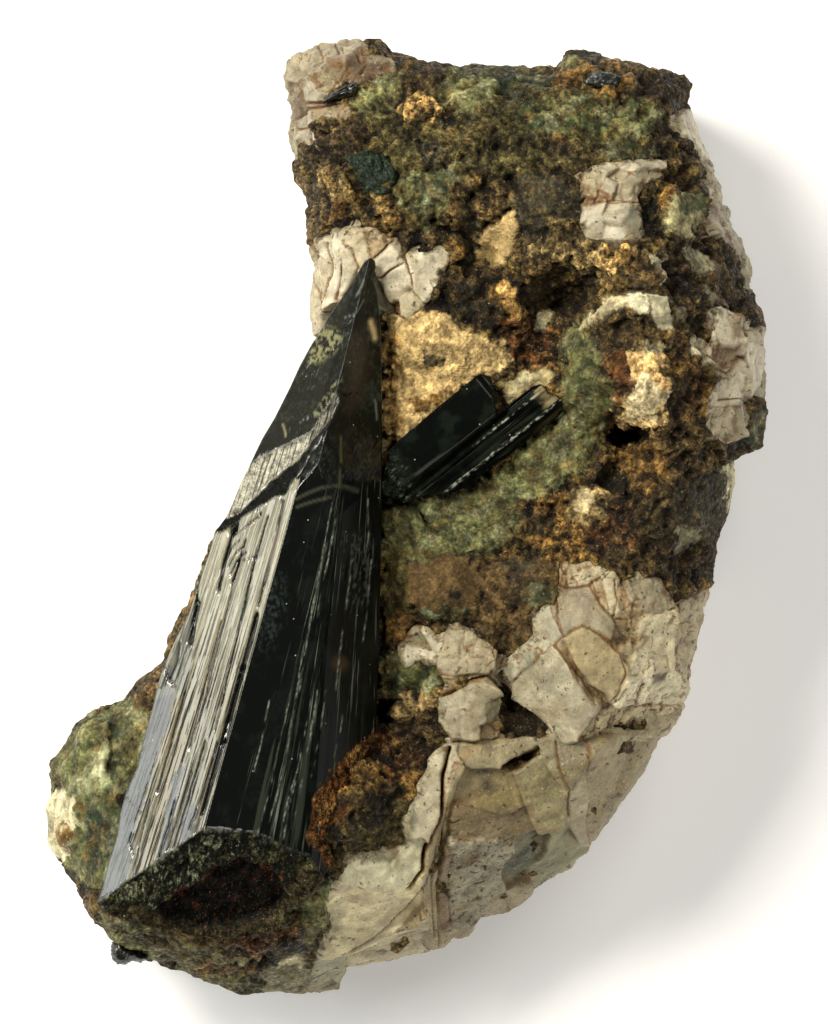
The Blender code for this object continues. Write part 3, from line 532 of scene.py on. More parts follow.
ground_x = skin_home_x + np.where(on_wall, 40 * (1 - skin_share) * skin_grain(9, 2, 21), 0)
ground_y = skin_home_y + np.where(on_wall, 40 * (1 - skin_share) * skin_grain(9, 2, 22), 0)
_, grain_number, chip_middles = chips(skin_places, 1.3, 45)
chip_away = (chip_middles - skin_places) / PIXEL
wander_x = 0.9 * chip_away[:, 0] + 4.0 * skin_grain(4.2, 3, 31) + 1.2 * skin_grain(0.6, 2, 33)
wander_y = -0.9 * chip_away[:, 1] + 4.0 * skin_grain(4.2, 3, 32) + 1.2 * skin_grain(0.6, 2, 34)


def as_light(colour):
    """An 8-bit screen colour as linear light."""
    share = np.array(colour, float) / 255
    return np.where(share <= 0.04045, share / 12.92, ((share + 0.055) / 1.055) ** 2.4)


# Under the patches the crust runs from black through brown to sand, in blotches of a few millimetres.
blotches = skin_grain(4.0, 4, 41) + 0.6 * skin_grain(1.1, 3, 42)
tints = np.array([as_light(c) for c in (BLACK, UMBER, BROWN, OLIVE, OCHRE, TAN)])
level = np.clip((blotches + 0.9) / 1.8, 0, 1) * (len(tints) - 1)
lower = np.clip(level.astype(int), 0, len(tints) - 2)
crust_colour = tints[lower] + (tints[lower + 1] - tints[lower]) * (level - lower)[:, None]
ground_colour = crust_colour.copy()
ground_grit = np.full(len(skin_x), 1.0)
plate = np.zeros(len(skin_x))
PLATE_GRIT = 0.11  # anything smoother than this is a flat plate of mineral, without the rock's chips
for colour, outline, grit in GROUND_PATCHES:
    ragged = min(1.0, 0.3 + 2.0 * grit)
    depth = depth_inside(ground_x + ragged * wander_x, ground_y + ragged * wander_y, drawn(outline))
    share = smooth_step(depth + ragged * 4.0 * (grain_number - 0.5), -3.0 * ragged, 3.0 * ragged)
    plate += (float(grit < PLATE_GRIT) - plate) * share
    ground_colour += (as_light(colour) - ground_colour) * share[:, None]
    ground_grit += (grit - ground_grit) * share


def lay(tint, colour, share):
    """Lays a colour, or one colour for each point, over a tint by a share at each point."""
    if np.ndim(colour) < 2:
        colour = as_light(colour)
    tint += (colour - tint) * np.clip(share, 0, 1)[:, None]


# Relief of the rock: broad lumps, then the angular chips of the break, crumbs and pits where it is crusty.
lumps = 0.6 * skin_grain(6.5, 3, 51) + rubble(skin_places, 3.8, 52, 0.40)
crumb = rubble(skin_places, 1.9, 53, 0.50) + rubble(skin_places, 0.9, 54, 0.38)
pits = patches(skin_places, 1.6, 3, 55, 0.25, 0.65)
hollows = patches(skin_places, 3.2, 3, 57, 0.15, 0.55)
relief = (0.45 + 0.55 * ground_grit) * lumps + (0.12 + 0.88 * ground_grit) * crumb
relief += 0.05 * skin_grain(0.6, 2, 56) - ground_grit * (0.9 * pits + 0.9 * hollows)
relief = relief * (1 - 0.7 * plate) + 0.5 * plate

# The green parts are mottled: pale grey-green, dark green, and ochre stain. Over all of it lie scattered
# crust, dark patches and brown stain, with painted shade in the pits and hollows, and every chip has its own
# tone. Raised chips and lumps are painted lighter and sunken ones darker, as painted light and shade.
greenish = smooth_step(ground_colour[:, 1] / ground_colour[:, 0], 0.90, 1.05) * (ground_grit < 0.75)
crust_crumbs = smooth_step(skin_grain(0.8, 3, 49) + 0.5 * grain_number, 0.35, 0.6)
for colour, share in (
    ((140, 142, 112), greenish * patches(skin_places, 2.6, 4, 121, 0.05, 0.45) * 0.6),
    ((44, 52, 36), greenish * patches(skin_places, 2.0, 4, 122, 0.1, 0.45) * 0.65),
    ((112, 92, 46), greenish * patches(skin_places, 1.7, 4, 123, 0.12, 0.45) * 0.55),
    (crust_colour, patches(skin_places, 2.2, 4, 46, 0.05, 0.5) * (0.08 + 0.55 * ground_grit)),
    (crust_colour, crust_crumbs * (0.15 + 0.4 * ground_grit)),
    (BLACK, patches(skin_places, 1.5, 3, 47, 0.3, 0.6) * (0.05 + 0.5 * ground_grit)),
    # painted shade in the pits and hollows of the relief
    (BLACK, np.maximum(pits, 0.7 * hollows) * 0.7 * ground_grit),
    (BROWN, patches(skin_places, 5.0, 3, 48, 0.1, 0.6) * (0.1 + 0.2 * ground_grit)),
):
    lay(ground_colour, colour, share)
# painted light and shade: lighter where the relief stands high, darker where it is low
standing = 0.5 * lumps / lumps.std() + crumb / crumb.std()
standing = np.clip(standing - standing.mean(), -1.8, 1.8)
chip_shade = (0.15 + 0.5 * ground_grit) * (grain_number - 0.5)
ground_colour *= (1.0 + (0.10 + 0.42 * ground_grit) * standing)[:, None]
ground_colour *= (1.04 + chip_shade + 0.25 * skin_grain(0.5, 2, 43))[:, None]
ground_colour *= (0.84 + 0.32 * skin_grain(2.4, 3, 44))[:, None] * np.array([1.02, 1.0, 0.88])
ground_colour = np.clip(ground_colour, 0.002, 1.0)
near_rim = np.exp(-np.clip(depth_inside(skin_x, skin_y, ROCK_EDGE), 0, None) / 7.0)
near_rim = np.where(on_wall, 1.0, near_rim)
relief = relief * (1 - 0.45 * near_rim) - 0.22 * near_rim * smooth_step(skin_share, 0.2, 0.7)
sunk = -1.3 * np.maximum(smooth_step(nearest_mass, -0.1, 0.9), smooth_step(next_mass, -1.6, -0.6))
toe = smooth_step(skin_z, 0.0, 2.0)
rock_places = skin_places + skin_normals * ((relief + sunk) * toe)[:, None]
rock_places[:, 2] = np.maximum(rock_places[:, 2], 0.0)
rock_places[list(back_face), 2] = 0.0


def add_mesh(name, places, faces, **measures):
    """A smooth-shaded mesh from places in millimetres, with numbers or colours kept at its points."""
    mesh = bpy.data.meshes.new(name)
    mesh.from_pydata((places * 0.001).tolist(), [], [list(map(int, f)) for f in faces])
    for label, values in measures.items():
        colour = np.ndim(values) == 2
        kept = mesh.attributes.new(label, "FLOAT_COLOR" if colour else "FLOAT", "POINT")
        if colour:
            values = np.column_stack([values, np.ones(len(values))])
            kept.data.foreach_set("color", values.astype(np.float32).ravel())
        else:
            kept.data.foreach_set("value", np.asarray(values, np.float32))
    mesh.polygons.foreach_set("use_smooth", np.ones(len(mesh.polygons), bool))
    piece = bpy.data.objects.new(name, mesh)
    bpy.context.scene.collection.objects.link(piece)
    return piece


def hollowness(places, faces, rounds=3):
    """How sunken each point lies among its neighbours, in millimetres."""
    edges = np.array([(f[i - 1], f[i]) for f in faces for i in range(len(f))], int)
    smoothed = places.copy()
    reach = np.bincount(edges.ravel(), minlength=len(places))[:, None] + 1e-9
    for _ in range(rounds):
        summed = np.zeros_like(smoothed)
        for axis in range(3):
            summed[:, axis] += np.bincount(edges[:, 0], smoothed[edges[:, 1], axis], len(places))
            summed[:, axis] += np.bincount(edges[:, 1], smoothed[edges[:, 0], axis], len(places))
        smoothed = summed / reach
    normals = outward_normals(places, faces)
    return ((smoothed - places) * normals).sum(axis=1)


class Wire:
    """A value in a material that can be used in sums."""

    def __init__(self, tree, socket):
        self.tree = tree
        self.socket = socket

    def sum(self, operation, *terms):
        node = self.tree.nodes.new("ShaderNodeMath")
        node.operation = operation
        for place, term in zip(node.inputs, terms):
            if isinstance(term, Wire):
                self.tree.links.new(term.socket, place)
            else:
                place.default_value = term
        return Wire(self.tree, node.outputs[0])

    def __add__(self, other):
        return self.sum("ADD", self, other)

    def __radd__(self, other):
        return self.sum("ADD", other, self)

    def __sub__(self, other):
        return self.sum("SUBTRACT", self, other)

    def __rsub__(self, other):
        return self.sum("SUBTRACT", other, self)

    def __mul__(self, other):
        return self.sum("MULTIPLY", self, other)

    def __rmul__(self, other):
        return self.sum("MULTIPLY", other, self)

    def __truediv__(self, other):
        return self.sum("DIVIDE", self, other)

    def __mod__(self, other):
        return self.sum("MODULO", self, other)

    def __abs__(self):
        return self.sum("ABSOLUTE", self)

    def beside(self, name):
        """Another output of the same node."""
        return Wire(self.tree, self.socket.node.outputs[name])


class Finish:
    """A material under its mineral's name, with its Principled shader."""

    def __init__(self, name):
        self.material = bpy.data.materials.new(name)
        self.material.use_nodes = True
        self.tree = self.material.node_tree
        self.shader = self.tree.nodes["Principled BSDF"]

    def node(self, kind, settings=None, sockets=None, out=0):
        """Any node: its settings first, then values or wires for its sockets."""
        node = self.tree.nodes.new(kind)
        for name, value in (settings or {}).items():
            setattr(node, name, value)
        for name, value in (sockets or {}).items():
            if isinstance(value, Wire):
                self.tree.links.new(value.socket, node.inputs[name])
            else:
                node.inputs[name].default_value = value
        return Wire(self.tree, node.outputs[out])

    def measure(self, label, out="Fac"):
        return self.node("ShaderNodeAttribute", {"attribute_name": label}, out=out)

    def place(self):
        return self.node("ShaderNodeTexCoord", out="Object")

    def noise(self, size, detail=3.0, roughness=0.6, where=None):
        """Noise from 0 to 1, its lumps `size` millimetres across."""
        return self.node("ShaderNodeTexNoise", {}, {
            "Vector": where or self.place(), "Scale": 1000.0 / size, "Detail": detail, "Roughness": roughness,
        })

    def streaks(self, x, y, z=0.0, detail=3.0, roughness=0.6):
        """Noise drawn out along a crystal, over distances scaled to lumps of one unit."""
        where = self.node("ShaderNodeCombineXYZ", {}, {"X": x, "Y": y, "Z": z})
        return self.noise(1000.0, detail, roughness, where)

    def between(self, value, low, high, start=0.0, end=1.0):
        """A smooth rise from start to end as the value goes from low to high."""
        return self.node("ShaderNodeMapRange", {"interpolation_type": "SMOOTHSTEP"}, {
            "Value": value, "From Min": low, "From Max": high, "To Min": start, "To Max": end,
        })

    def sharpest(self, first, second):
        """The larger of two values."""
        return first.sum("MAXIMUM", first, second)

    def blend(self, share, first, second, how="MIX"):
        """Two colours mixed by a share. Colours are wires or screen colours."""
        colours = [c if isinstance(c, Wire) else (*as_light(c), 1.0) for c in (first, second)]
        return self.node("ShaderNodeMix", {"data_type": "RGBA", "blend_type": how}, {
            0: share, 6: colours[0], 7: colours[1],
        }, out=2)

    def bump(self, height, depth, strength=1.0, under=None):
        """Fine relief up to `depth` millimetres, over any relief under it."""
        sockets = {"Height": height, "Distance": depth * 0.001, "Strength": strength}
        if under:
            sockets["Normal"] = under
        return self.node("ShaderNodeBump", {}, sockets)

    def second_sheen(self, share):
        """A second shader that takes over from the first one by a share."""
        second = self.tree.nodes.new("ShaderNodeBsdfPrincipled")
        mixed = self.node("ShaderNodeMixShader", {}, {
            0: share, 1: Wire(self.tree, self.shader.outputs[0]), 2: Wire(self.tree, second.outputs[0]),
        })
        self.tree.links.new(mixed.socket, self.tree.nodes["Material Output"].inputs["Surface"])
        self.shader = second

    def wear(self, **inputs):
        """Sets the shader's own sockets, by value or by wire."""
        for name, value in inputs.items():
            socket = self.shader.inputs[name.replace("_", " ")]
            if isinstance(value, Wire):
                self.tree.links.new(value.socket, socket)
            else:
                socket.default_value = value


stone = Finish("groundmass")
stone_grit = stone.measure("grit")
stone_fine_grain = stone.noise(0.28, 3.0, 0.7)
stone_crumbs = stone.noise(0.75, 4.0, 0.72)
stone_grains = stone.node("ShaderNodeTexVoronoi", {}, {"Vector": stone.place(), "Scale": 1000 / 0.45})
grain_shade = stone.between(stone_grains.beside("Color"), 0.2, 0.8, 0.45, 1.55)
# Painted light and shade: the crumbs are lighter where the fine relief stands high, darker where it is low.
crumb_shade = stone.between(stone_crumbs, 0.36, 0.66, 0.22, 2.1)
stone_base = stone.blend(stone_grit * 0.4 + 0.3, stone.measure("tint", "Color"), grain_shade, "MULTIPLY")
stone_base = stone.blend(stone_grit * 0.8 + 0.08, stone_base, crumb_shade, "MULTIPLY")
stone_glints = stone.between(stone_fine_grain, 0.58, 0.68) * stone.between(stone_crumbs, 0.48, 0.60)
# Painted shade where the crumbs sink and in the hollows, dark specks where the fine grain is low, and painted
# glints on high grains.
for share, colour in (
    (stone.between(stone_crumbs, 0.34, 0.44, 1.0, 0.0) * (stone_grit * 0.5 + 0.25), (20, 16, 9)),
    (stone.between(stone.measure("hollow"), 0.03, 0.26) * 0.5, (24, 18, 10)),
    (stone.between(stone_fine_grain, 0.38, 0.52, 1.0, 0.0) * (stone_grit * 0.25 + 0.2), (26, 20, 12)),
    (stone_glints * (stone_grit * 0.4 + 0.2), (204, 182, 128)),
):
    stone_base = stone.blend(share, stone_base, colour)
stone_height = stone_crumbs * (stone_grit * 0.9 + 0.1) - stone_grains * (stone_grit * 0.2 + 0.12)
stone.wear(
    Base_Color=stone_base,
    Roughness=stone.between(stone_grains.beside("Color"), 0.62, 0.72, 0.85, 0.5),
    Specular_IOR_Level=0.2,
    Normal=stone.bump(stone_fine_grain, 0.14, 0.8, under=stone.bump(stone_height, 0.8, 1.0)),
)

matrix_rock = add_mesh(
    "rock", rock_places, skin_faces + [back_face], tint=ground_colour, grit=ground_grit,
    hollow=hollowness(rock_places, skin_faces),
)
matrix_rock.data.materials.append(stone.material)

# Under the feldspar nothing of the rock shows, so its mesh is thinned there and keeps its detail elsewhere.
COVERED_BY, KEPT_SHARE = 0.5, 0.815
covered = matrix_rock.vertex_groups.new(name="covered")
covered.add(np.flatnonzero(nearest_mass > COVERED_BY).tolist(), 1.0, "REPLACE")
thinning = matrix_rock.modifiers.new("thinning", "DECIMATE")
thinning.vertex_group = "covered"
thinning.ratio = KEPT_SHARE
thinned_rock = matrix_rock.evaluated_get(bpy.context.evaluated_depsgraph_get())
matrix_rock.data = bpy.data.meshes.new_from_object(thinned_rock)
matrix_rock.modifiers.clear()
matrix_rock.vertex_groups.clear()
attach(matrix_rock, "root")
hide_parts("matrix_rock")

# Feldspar: white to cream microcline in blocks bounded by cleavages, stained brown along the joints.
# Each mass is the skin of its outline, cut finer and split into flat-faced blocks, over a rounded
# underside. A block: colour, height in millimetres above the rock's face, slopes to the right and down
# the picture, how crumbly it is, and its corners.
WHITE, IVORY, PEACH, GREY_WHITE = (182, 174, 147), (165, 154, 121), (142, 122, 84), (148, 144, 118)
FAWN, SAGE_WHITE, STAIN, DEEP_STAIN = (142, 130, 93), (138, 138, 104), (106, 78, 44), (44, 34, 20)
MASS_BLOCKS = {
    "feldspar_crown": [
        (IVORY, 0.3, 0.10, 0.10, 0.4, "284,50 300,48 318,44 331,65 318,78 304,80 288,80"),
        (IVORY, 0.7, 0.0, 0.15, 0.35, "318,44 334,44 357,40 362,52 348,66 331,66"),
        (STAIN, 0.3, -0.1, 0.1, 0.6, "348,66 357,52 376,50 394,57 388,68 374,76 358,78 343,80"),
        (FAWN, 0.2, 0.0, 0.1, 0.6, "318,78 331,66 348,68 343,80 330,90 322,96"),
        (WHITE, 0.6, 0.2, 0.1, 0.2, "303,86 312,83 321,84 325,94 318,101 306,100"),
        (FAWN, 0.0, 0.1, 0.0, 0.5, "284,80 303,82 304,108 296,116 285,116"),
        (PEACH, 0.5, 0.0, 0.2, 0.4, "320,105 334,103 348,106 352,112 346,118 330,119 318,120"),
        (WHITE, 0.3, 0.1, 0.0, 0.3, "294,122 304,116 312,116 318,126 316,134 306,142 298,140"),
        (GREY_WHITE, -0.2, 0.3, 0.0, 0.3, "284,116 294,118 298,140 303,156 290,160"),
    ],
    "feldspar_block_row": [
        (IVORY, 0.0, 0.25, 0.0, 0.2, "300,290 312,272 320,254 327,266 329,307 318,330 312,340 300,345"),
        (WHITE, 0.5, 0.10, 0.12, 0.1, "322,240 336,236 346,237 341,264 343,296 330,309 327,270"),
        (WHITE, 0.9, -0.05, 0.10, 0.1, "341,252 352,249 359,266 349,290 343,294"),
        (IVORY, 0.5, 0.0, 0.25, 0.1, "347,236 364,233 371,256 360,265 353,250"),
        (PEACH, 0.3, -0.1, 0.2, 0.4, "366,233 385,240 388,246 374,256"),
        (WHITE, 1.1, 0.12, 0.2, 0.05, "374,259 391,243 404,256 398,266 382,276"),
        (WHITE, 0.8, 0.10, -0.25, 0.05, "382,276 402,261 414,284 389,303 384,290"),
        (WHITE, 0.6, -0.10, 0.05, 0.1, "405,254 419,248 432,250 446,260 442,276 434,290 423,298 414,283"),
        (IVORY, 0.2, 0.1, 0.0, 0.1, "398,300 412,291 420,300 408,318 400,314"),
        (GREY_WHITE, -0.5, -0.2, 0.0, 0.2, "370,272 382,288 387,308 378,316 370,300"),
        (STAIN, -1.3, 0.0, 0.0, 0.8, "386,304 398,302 400,312 392,318 386,314"),
        (IVORY, -0.1, 0.3, 0.1, 0.3, "300,345 318,330 330,310 343,300 350,310 350,352 310,358"),
        (FAWN, 0.1, 0.1, 0.1, 0.9, "306,236 314,246 322,240 320,255 306,275 300,260"),
    ],
    "feldspar_right_strip": [
        (SAGE_WHITE, 0.2, -0.3, 0.1, 0.3, "664,108 678,108 684,140 676,137"),
        (WHITE, 0.4, -0.2, 0.1, 0.15, "678,116 692,116 700,140 706,160 695,152 684,140"),
        (IVORY, 0.1, -0.3, 0.0, 0.3, "706,160 720,180 728,200 716,206 708,190"),
        (GREY_WHITE, 0.0, -0.4, 0.0, 0.4, "716,206 730,205 750,250 756,285 744,280 730,250 712,236"),
    ],
    "feldspar_right_cluster": [
        (WHITE, 0.5, 0.1, 0.1, 0.2, "710,313 730,321 736,348 722,346 708,330"),
        (IVORY, 0.2, -0.1, 0.1, 0.4, "735,321 754,324 760,342 743,338"),
        (WHITE, 0.6, -0.25, 0.0, 0.15, "743,343 760,346 764,370 757,399 738,391 743,367"),
        (WHITE, 0.5, 0.15, 0.05, 0.15, "716,378 740,359 738,391 729,407 711,402"),
        (IVORY, 0.2, 0.0, -0.1, 0.3, "705,413 730,407 732,434 716,442"),
        (GREY_WHITE, 0.2, 0.2, 0.1, 0.2, "686,337 711,353 721,372 714,374 694,351"),
        (STAIN, -0.6, 0.0, 0.0, 0.8, "722,346 736,348 740,358 716,376 712,356"),
        (GREY_WHITE, 0.0, -0.3, 0.0, 0.4, "757,399 764,372 775,360 775,410 750,440 738,430 740,396"),
    ],
    "feldspar_upper_cluster": [
        (IVORY, 0.2, 0.3, 0.1, 0.15, "582,184 596,172 606,178 598,191"),
        (WHITE, 0.7, 0.1, 0.3, 0.1, "596,172 608,163 618,170 606,178"),
        (IVORY, 0.3, 0.1, 0.3, 0.1, "608,163 622,157 633,164 618,170"),
        (WHITE, 0.8, -0.1, 0.2, 0.1, "598,191 606,178 618,184 612,199"),
        (IVORY, 0.3, 0.3, 0.1, 0.1, "606,178 618,170 630,176 618,184"),
        (WHITE, 0.9, 0.1, 0.3, 0.1, "618,170 633,164 644,169 630,176"),
        (IVORY, 0.4, 0.2, -0.1, 0.15, "612,199 618,184 632,189 629,204"),
        (WHITE, 0.6, -0.2, 0.1, 0.1, "618,184 630,176 642,181 632,189"),
        (WHITE, 0.8, 0.1, 0.2, 0.1, "633,164 644,157 666,160 664,171 650,171 644,169"),
        (IVORY, 0.3, -0.3, 0.1, 0.15, "630,176 644,169 650,171 666,172 662,178 650,187 642,181"),
        (IVORY, 0.1, -0.2, 0.1, 0.3, "632,189 642,181 650,187 642,200 629,205"),
        (PEACH, 0.0, 0.2, 0.1, 0.4, "572,174 584,182 598,191 612,199 600,204 578,200"),
        (WHITE, 0.9, 0.3, 0.1, 0.1, "580,212 590,203 606,204 602,223 588,227 578,223"),
        (WHITE, 1.2, 0.05, 0.3, 0.05, "606,204 622,204 631,211 622,229 603,224"),
        (GREY_WHITE, 0.8, 0.3, -0.1, 0.1, "578,223 588,227 602,223 607,227 604,250 588,246 580,236"),
        (WHITE, 1.1, -0.05, 0.05, 0.05, "603,224 622,229 628,237 620,250 604,250"),
        (GREY_WHITE, 0.7, -0.35, 0.0, 0.1, "631,211 642,212 644,240 634,250 620,250 628,237 622,229"),
    ],
    "feldspar_middle_pair": [
        ((153, 143, 112), 0.7, 0.05, 0.1, 0.22,
         "450,630 466,630 488,640 493,658 484,672 464,674 447,676 441,660 446,648"),
        (PEACH, 0.4, 0.0, 0.15, 0.3, "440,688 458,678 488,674 490,680 470,683 455,690 443,695"),
        ((139, 131, 104), 0.8, 0.08, 0.1, 0.16,
         "443,698 458,688 482,679 493,690 480,704 478,726 476,737 450,739 440,720 439,705"),
        (GREY_WHITE, 0.8, -0.25, 0.0, 0.1, "482,704 493,690 496,720 480,726"),
        (PEACH, 0.2, 0.0, 0.0, 0.5, "478,726 497,722 498,738 478,738"),
        (WHITE, 0.7, -0.15, 0.1, 0.1, "420,630 436,627 447,643 445,652 434,648"),
        (WHITE, 0.5, 0.1, -0.1, 0.15, "403,652 406,644 425,648 440,658 433,664 412,661 405,668"),
        (SAGE, 0.0, 0.0, 0.0, 0.5, "396,640 412,634 420,630 432,648 406,644 398,656"),
    ],
    "feldspar_lower_cluster": [
        ((154, 147, 122), 1.3, 0.18, -0.05, 0.06,
         "519,676 554,647 565,656 596,704 583,724 568,733 540,708"),
        (GREY_WHITE, 0.4, 0.35, 0.0, 0.2, "500,665 516,652 530,647 545,650 519,674"),
        ((150, 136, 100), 1.0, -0.08, 0.14, 0.10,
         "568,640 582,627 600,636 619,655 621,673 610,691 588,682 573,662"),
        (PEACH, 0.1, -0.1, 0.1, 0.5, "556,645 564,645 573,664 588,684 598,692 592,700 572,672"),
        ((118, 108, 80), 0.6, 0.10, 0.15, 0.1,
         "556,596 566,588 584,586 602,606 613,622 608,637 590,626 574,628 565,636 558,616"),
        (IVORY, 0.4, 0.0, 0.3, 0.4, "560,566 580,558 612,570 614,578 590,578 584,586 566,588"),
        (PEACH, 0.2, 0.15, 0.0, 0.2, "594,584 602,582 608,612 600,606"),
        (IVORY, 0.5, 0.15, 0.0, 0.1, "603,582 613,580 620,612 610,616"),
        (PEACH, 0.2, -0.1, 0.0, 0.2, "614,582 622,586 626,606 620,610"),
        ((146, 137, 108), 0.7, 0.05, 0.2, 0.2, "624,588 644,577 664,588 663,602 650,608 634,605"),
        (PEACH, 0.2, 0.0, 0.1, 0.4, "612,616 634,606 640,616 632,630 616,626"),
        ((211, 199, 161), 0.7, 0.05, 0.02, 0.2, "640,620 664,616 671,630 670,656 657,673 631,675 634,642"),
        (FAWN, 0.2, 0.1, 0.1, 0.4, "614,628 634,630 634,644 626,660 618,650 610,638"),
        ((217, 207, 169), 0.5, -0.05, -0.1, 0.25,
         "612,692 631,677 657,674 676,674 684,700 640,708 610,706"),
        (GREY_WHITE, 0.3, 0.2, 0.1, 0.1, "532,616 540,606 556,622 563,638 554,646 543,653 532,644"),
        ((180, 166, 124), 0.0, 0.1, -0.1, 0.4,
         "584,724 598,704 636,708 680,706 684,720 660,738 600,738 584,734"),
        ((178, 166, 128), 0.0, -0.25, 0.0, 0.45,
         "672,614 690,600 708,590 712,600 704,640 692,672 686,700 678,672 672,650"),
    ],
    "feldspar_foot": [
        ((138, 128, 96), 0.9, 0.0, 0.12, 0.1,
         "466,754 478,746 500,741 536,739 534,749 516,757 500,762 469,767"),
        # painted shade: a sunken cavity coloured black
        (BLACK, -2.2, 0.0, 0.0, 0.9, "504,765 528,754 538,750 534,758 520,769 510,770"),
        ((112, 104, 75), 0.7, -0.1, 0.15, 0.3, "541,745 556,738 570,739 584,758 570,782 556,776 548,760"),
        ((122, 108, 66), 0.4, 0.05, 0.06, 0.3,
         "455,788 468,770 504,770 512,772 520,786 524,806 500,814 470,806 455,800"),
        ((120, 112, 75), 0.3, 0.0, 0.06, 0.3, "512,772 536,758 555,778 566,808 556,826 536,831 524,808"),
        ((120, 104, 66), 0.0, 0.0, -0.05, 0.5, "454,806 470,806 500,814 524,808 536,831 500,838 456,834"),
        (IVORY, 0.7, 0.25, 0.0, 0.2, "570,785 584,773 585,800 582,843 574,846 567,814"),
        ((139, 125, 84), 0.1, -0.15, -0.05, 0.45,
         "585,760 600,738 664,740 656,760 620,800 588,836 585,800"),
        ((49, 60, 28), -0.6, 0.0, 0.0, 0.5, "519,848 531,832 548,828 545,852 528,876 508,890 500,876"),
        ((112, 112, 68), -0.2, -0.1, -0.1, 0.4, "548,828 566,826 584,845 560,866 536,884 528,876 545,852"),
        ((150, 146, 122), 0.0, 0.0, 0.0, 1.0,
         "450,842 500,840 516,852 504,876 506,892 478,912 456,930 448,900"),
        (FAWN, -0.2, 0.0, -0.1, 0.6,
         "456,930 478,912 508,892 530,884 520,900 500,912 482,922 460,940 440,950"),
        ((162, 154, 128), 0.8, 0.10, 0.0, 0.08,
         "423,762 446,747 452,760 444,790 440,814 432,830 406,836 410,806 416,784"),
        (FAWN, 0.3, 0.0, 0.0, 0.4,
         "452,765 458,768 452,800 446,820 442,870 434,940 426,944 424,900 424,872 433,832 441,812 445,790"),
        (STAIN, -0.4, 0.0, 0.0, 0.5, "446,850 456,850 454,900 444,925 440,900"),
        ((203, 197, 160), 0.8, 0.05, 0.15, 0.05,
         "335,872 352,862 366,857 404,838 420,836 424,860 416,878 400,886 362,882"),
        ((220, 206, 156), 0.4, 0.05, 0.05, 0.15,
         "322,906 335,884 362,884 401,888 422,876 424,906 400,930 370,944 333,952 310,960"),
        (SAGE_WHITE, 0.0, 0.0, -0.1, 0.5, "300,962 318,956 346,952 344,972 340,994 300,998"),
        ((176, 164, 124), 0.1, 0.0, -0.1, 0.4,
         "346,952 372,945 402,930 424,908 426,944 412,950 380,962 346,970"),
    ],
}
# Open cracks and stained joints: half width in pixels, depth in millimetres, stain, then the line.
MASS_CRACKS = {
    "feldspar_crown": [
        (1.3, 0.9, 1.1, "296,84 306,102 322,102"), (1.3, 0.8, 1.1, "294,120 308,108 330,104"),
        (0.9, 0.5, 0.8, "318,46 324,58 318,76 302,82"), (0.9, 0.6, 0.8, "331,66 346,67 358,52 374,50"),
        (0.9, 0.6, 0.9, "348,67 340,80 326,92"), (0.8, 0.5, 0.7, "331,66 340,54 334,44"),
        (0.9, 0.6, 0.9, "360,76 366,62 358,54"), (1.0, 0.6, 0.9, "290,120 300,128 314,126"),
    ],
    "feldspar_block_row": [
        (0.8, 0.7, 0.9, "404,252 411,274 416,288"), (0.8, 0.6, 0.6, "374,258 398,236"),
        (0.9, 0.5, 0.9, "310,270 318,300 330,314"), (0.8, 0.6, 0.9, "326,242 329,270 328,310"),
        (0.7, 0.5, 0.8, "342,250 344,296"), (0.8, 0.6, 0.9, "352,248 360,266 349,292"),
        (0.7, 0.5, 0.7, "364,233 372,257"), (0.8, 0.6, 0.8, "382,277 404,262"),
    ],
    "feldspar_right_strip": [(0.9, 0.3, 0.8, "706,236 722,243 738,258")],
    "feldspar_right_cluster": [
        (1.1, 0.5, 0.9, "708,356 726,374 742,356"), (0.9, 0.4, 0.9, "718,400 734,398 756,404"),
        (0.9, 0.4, 0.9, "736,318 744,342 742,366"),
    ],
    "feldspar_upper_cluster": [(0.9, 0.5, 0.9, "582,206 600,203 618,205 640,203")],
    "feldspar_middle_pair": [
        (1.1, 0.8, 1.1, "443,696 456,689 470,681 492,674"), (0.8, 0.3, 0.8, "443,676 464,675 480,673"),
    ],
    "feldspar_lower_cluster": [
        (0.8, 0.4, 0.9, "556,596 558,616 565,636 556,645 572,672 592,700"),
        (0.8, 0.4, 0.8, "565,638 574,630 584,626 600,635 619,654 622,673 611,691 600,702"),
        (0.7, 0.3, 0.7, "602,606 614,622 620,634 634,644"),
        (0.7, 0.3, 0.9, "592,582 600,604 612,618 616,600 614,580"),
        (0.8, 0.4, 0.8, "594,710 606,700 622,686"),
    ],
    "feldspar_foot": [
        (1.3, 2.2, 1.2, "450,748 443,774 441,813 432,831 424,852 423,871 408,887"),
        (0.9, 0.5, 0.8, "556,742 560,766 568,784 567,814"), (0.8, 0.5, 0.9, "585,745 586,780 584,840"),
        (0.8, 0.5, 0.7, "446,806 443,850 440,900 434,940"), (0.7, 0.4, 0.5, "438,840 434,880 430,930"),
        (0.7, 0.4, 0.9, "452,742 480,740 520,736 548,736"),
        (0.6, 0.3, 0.8, "430,880 410,906 380,930 340,950"),
    ],
}
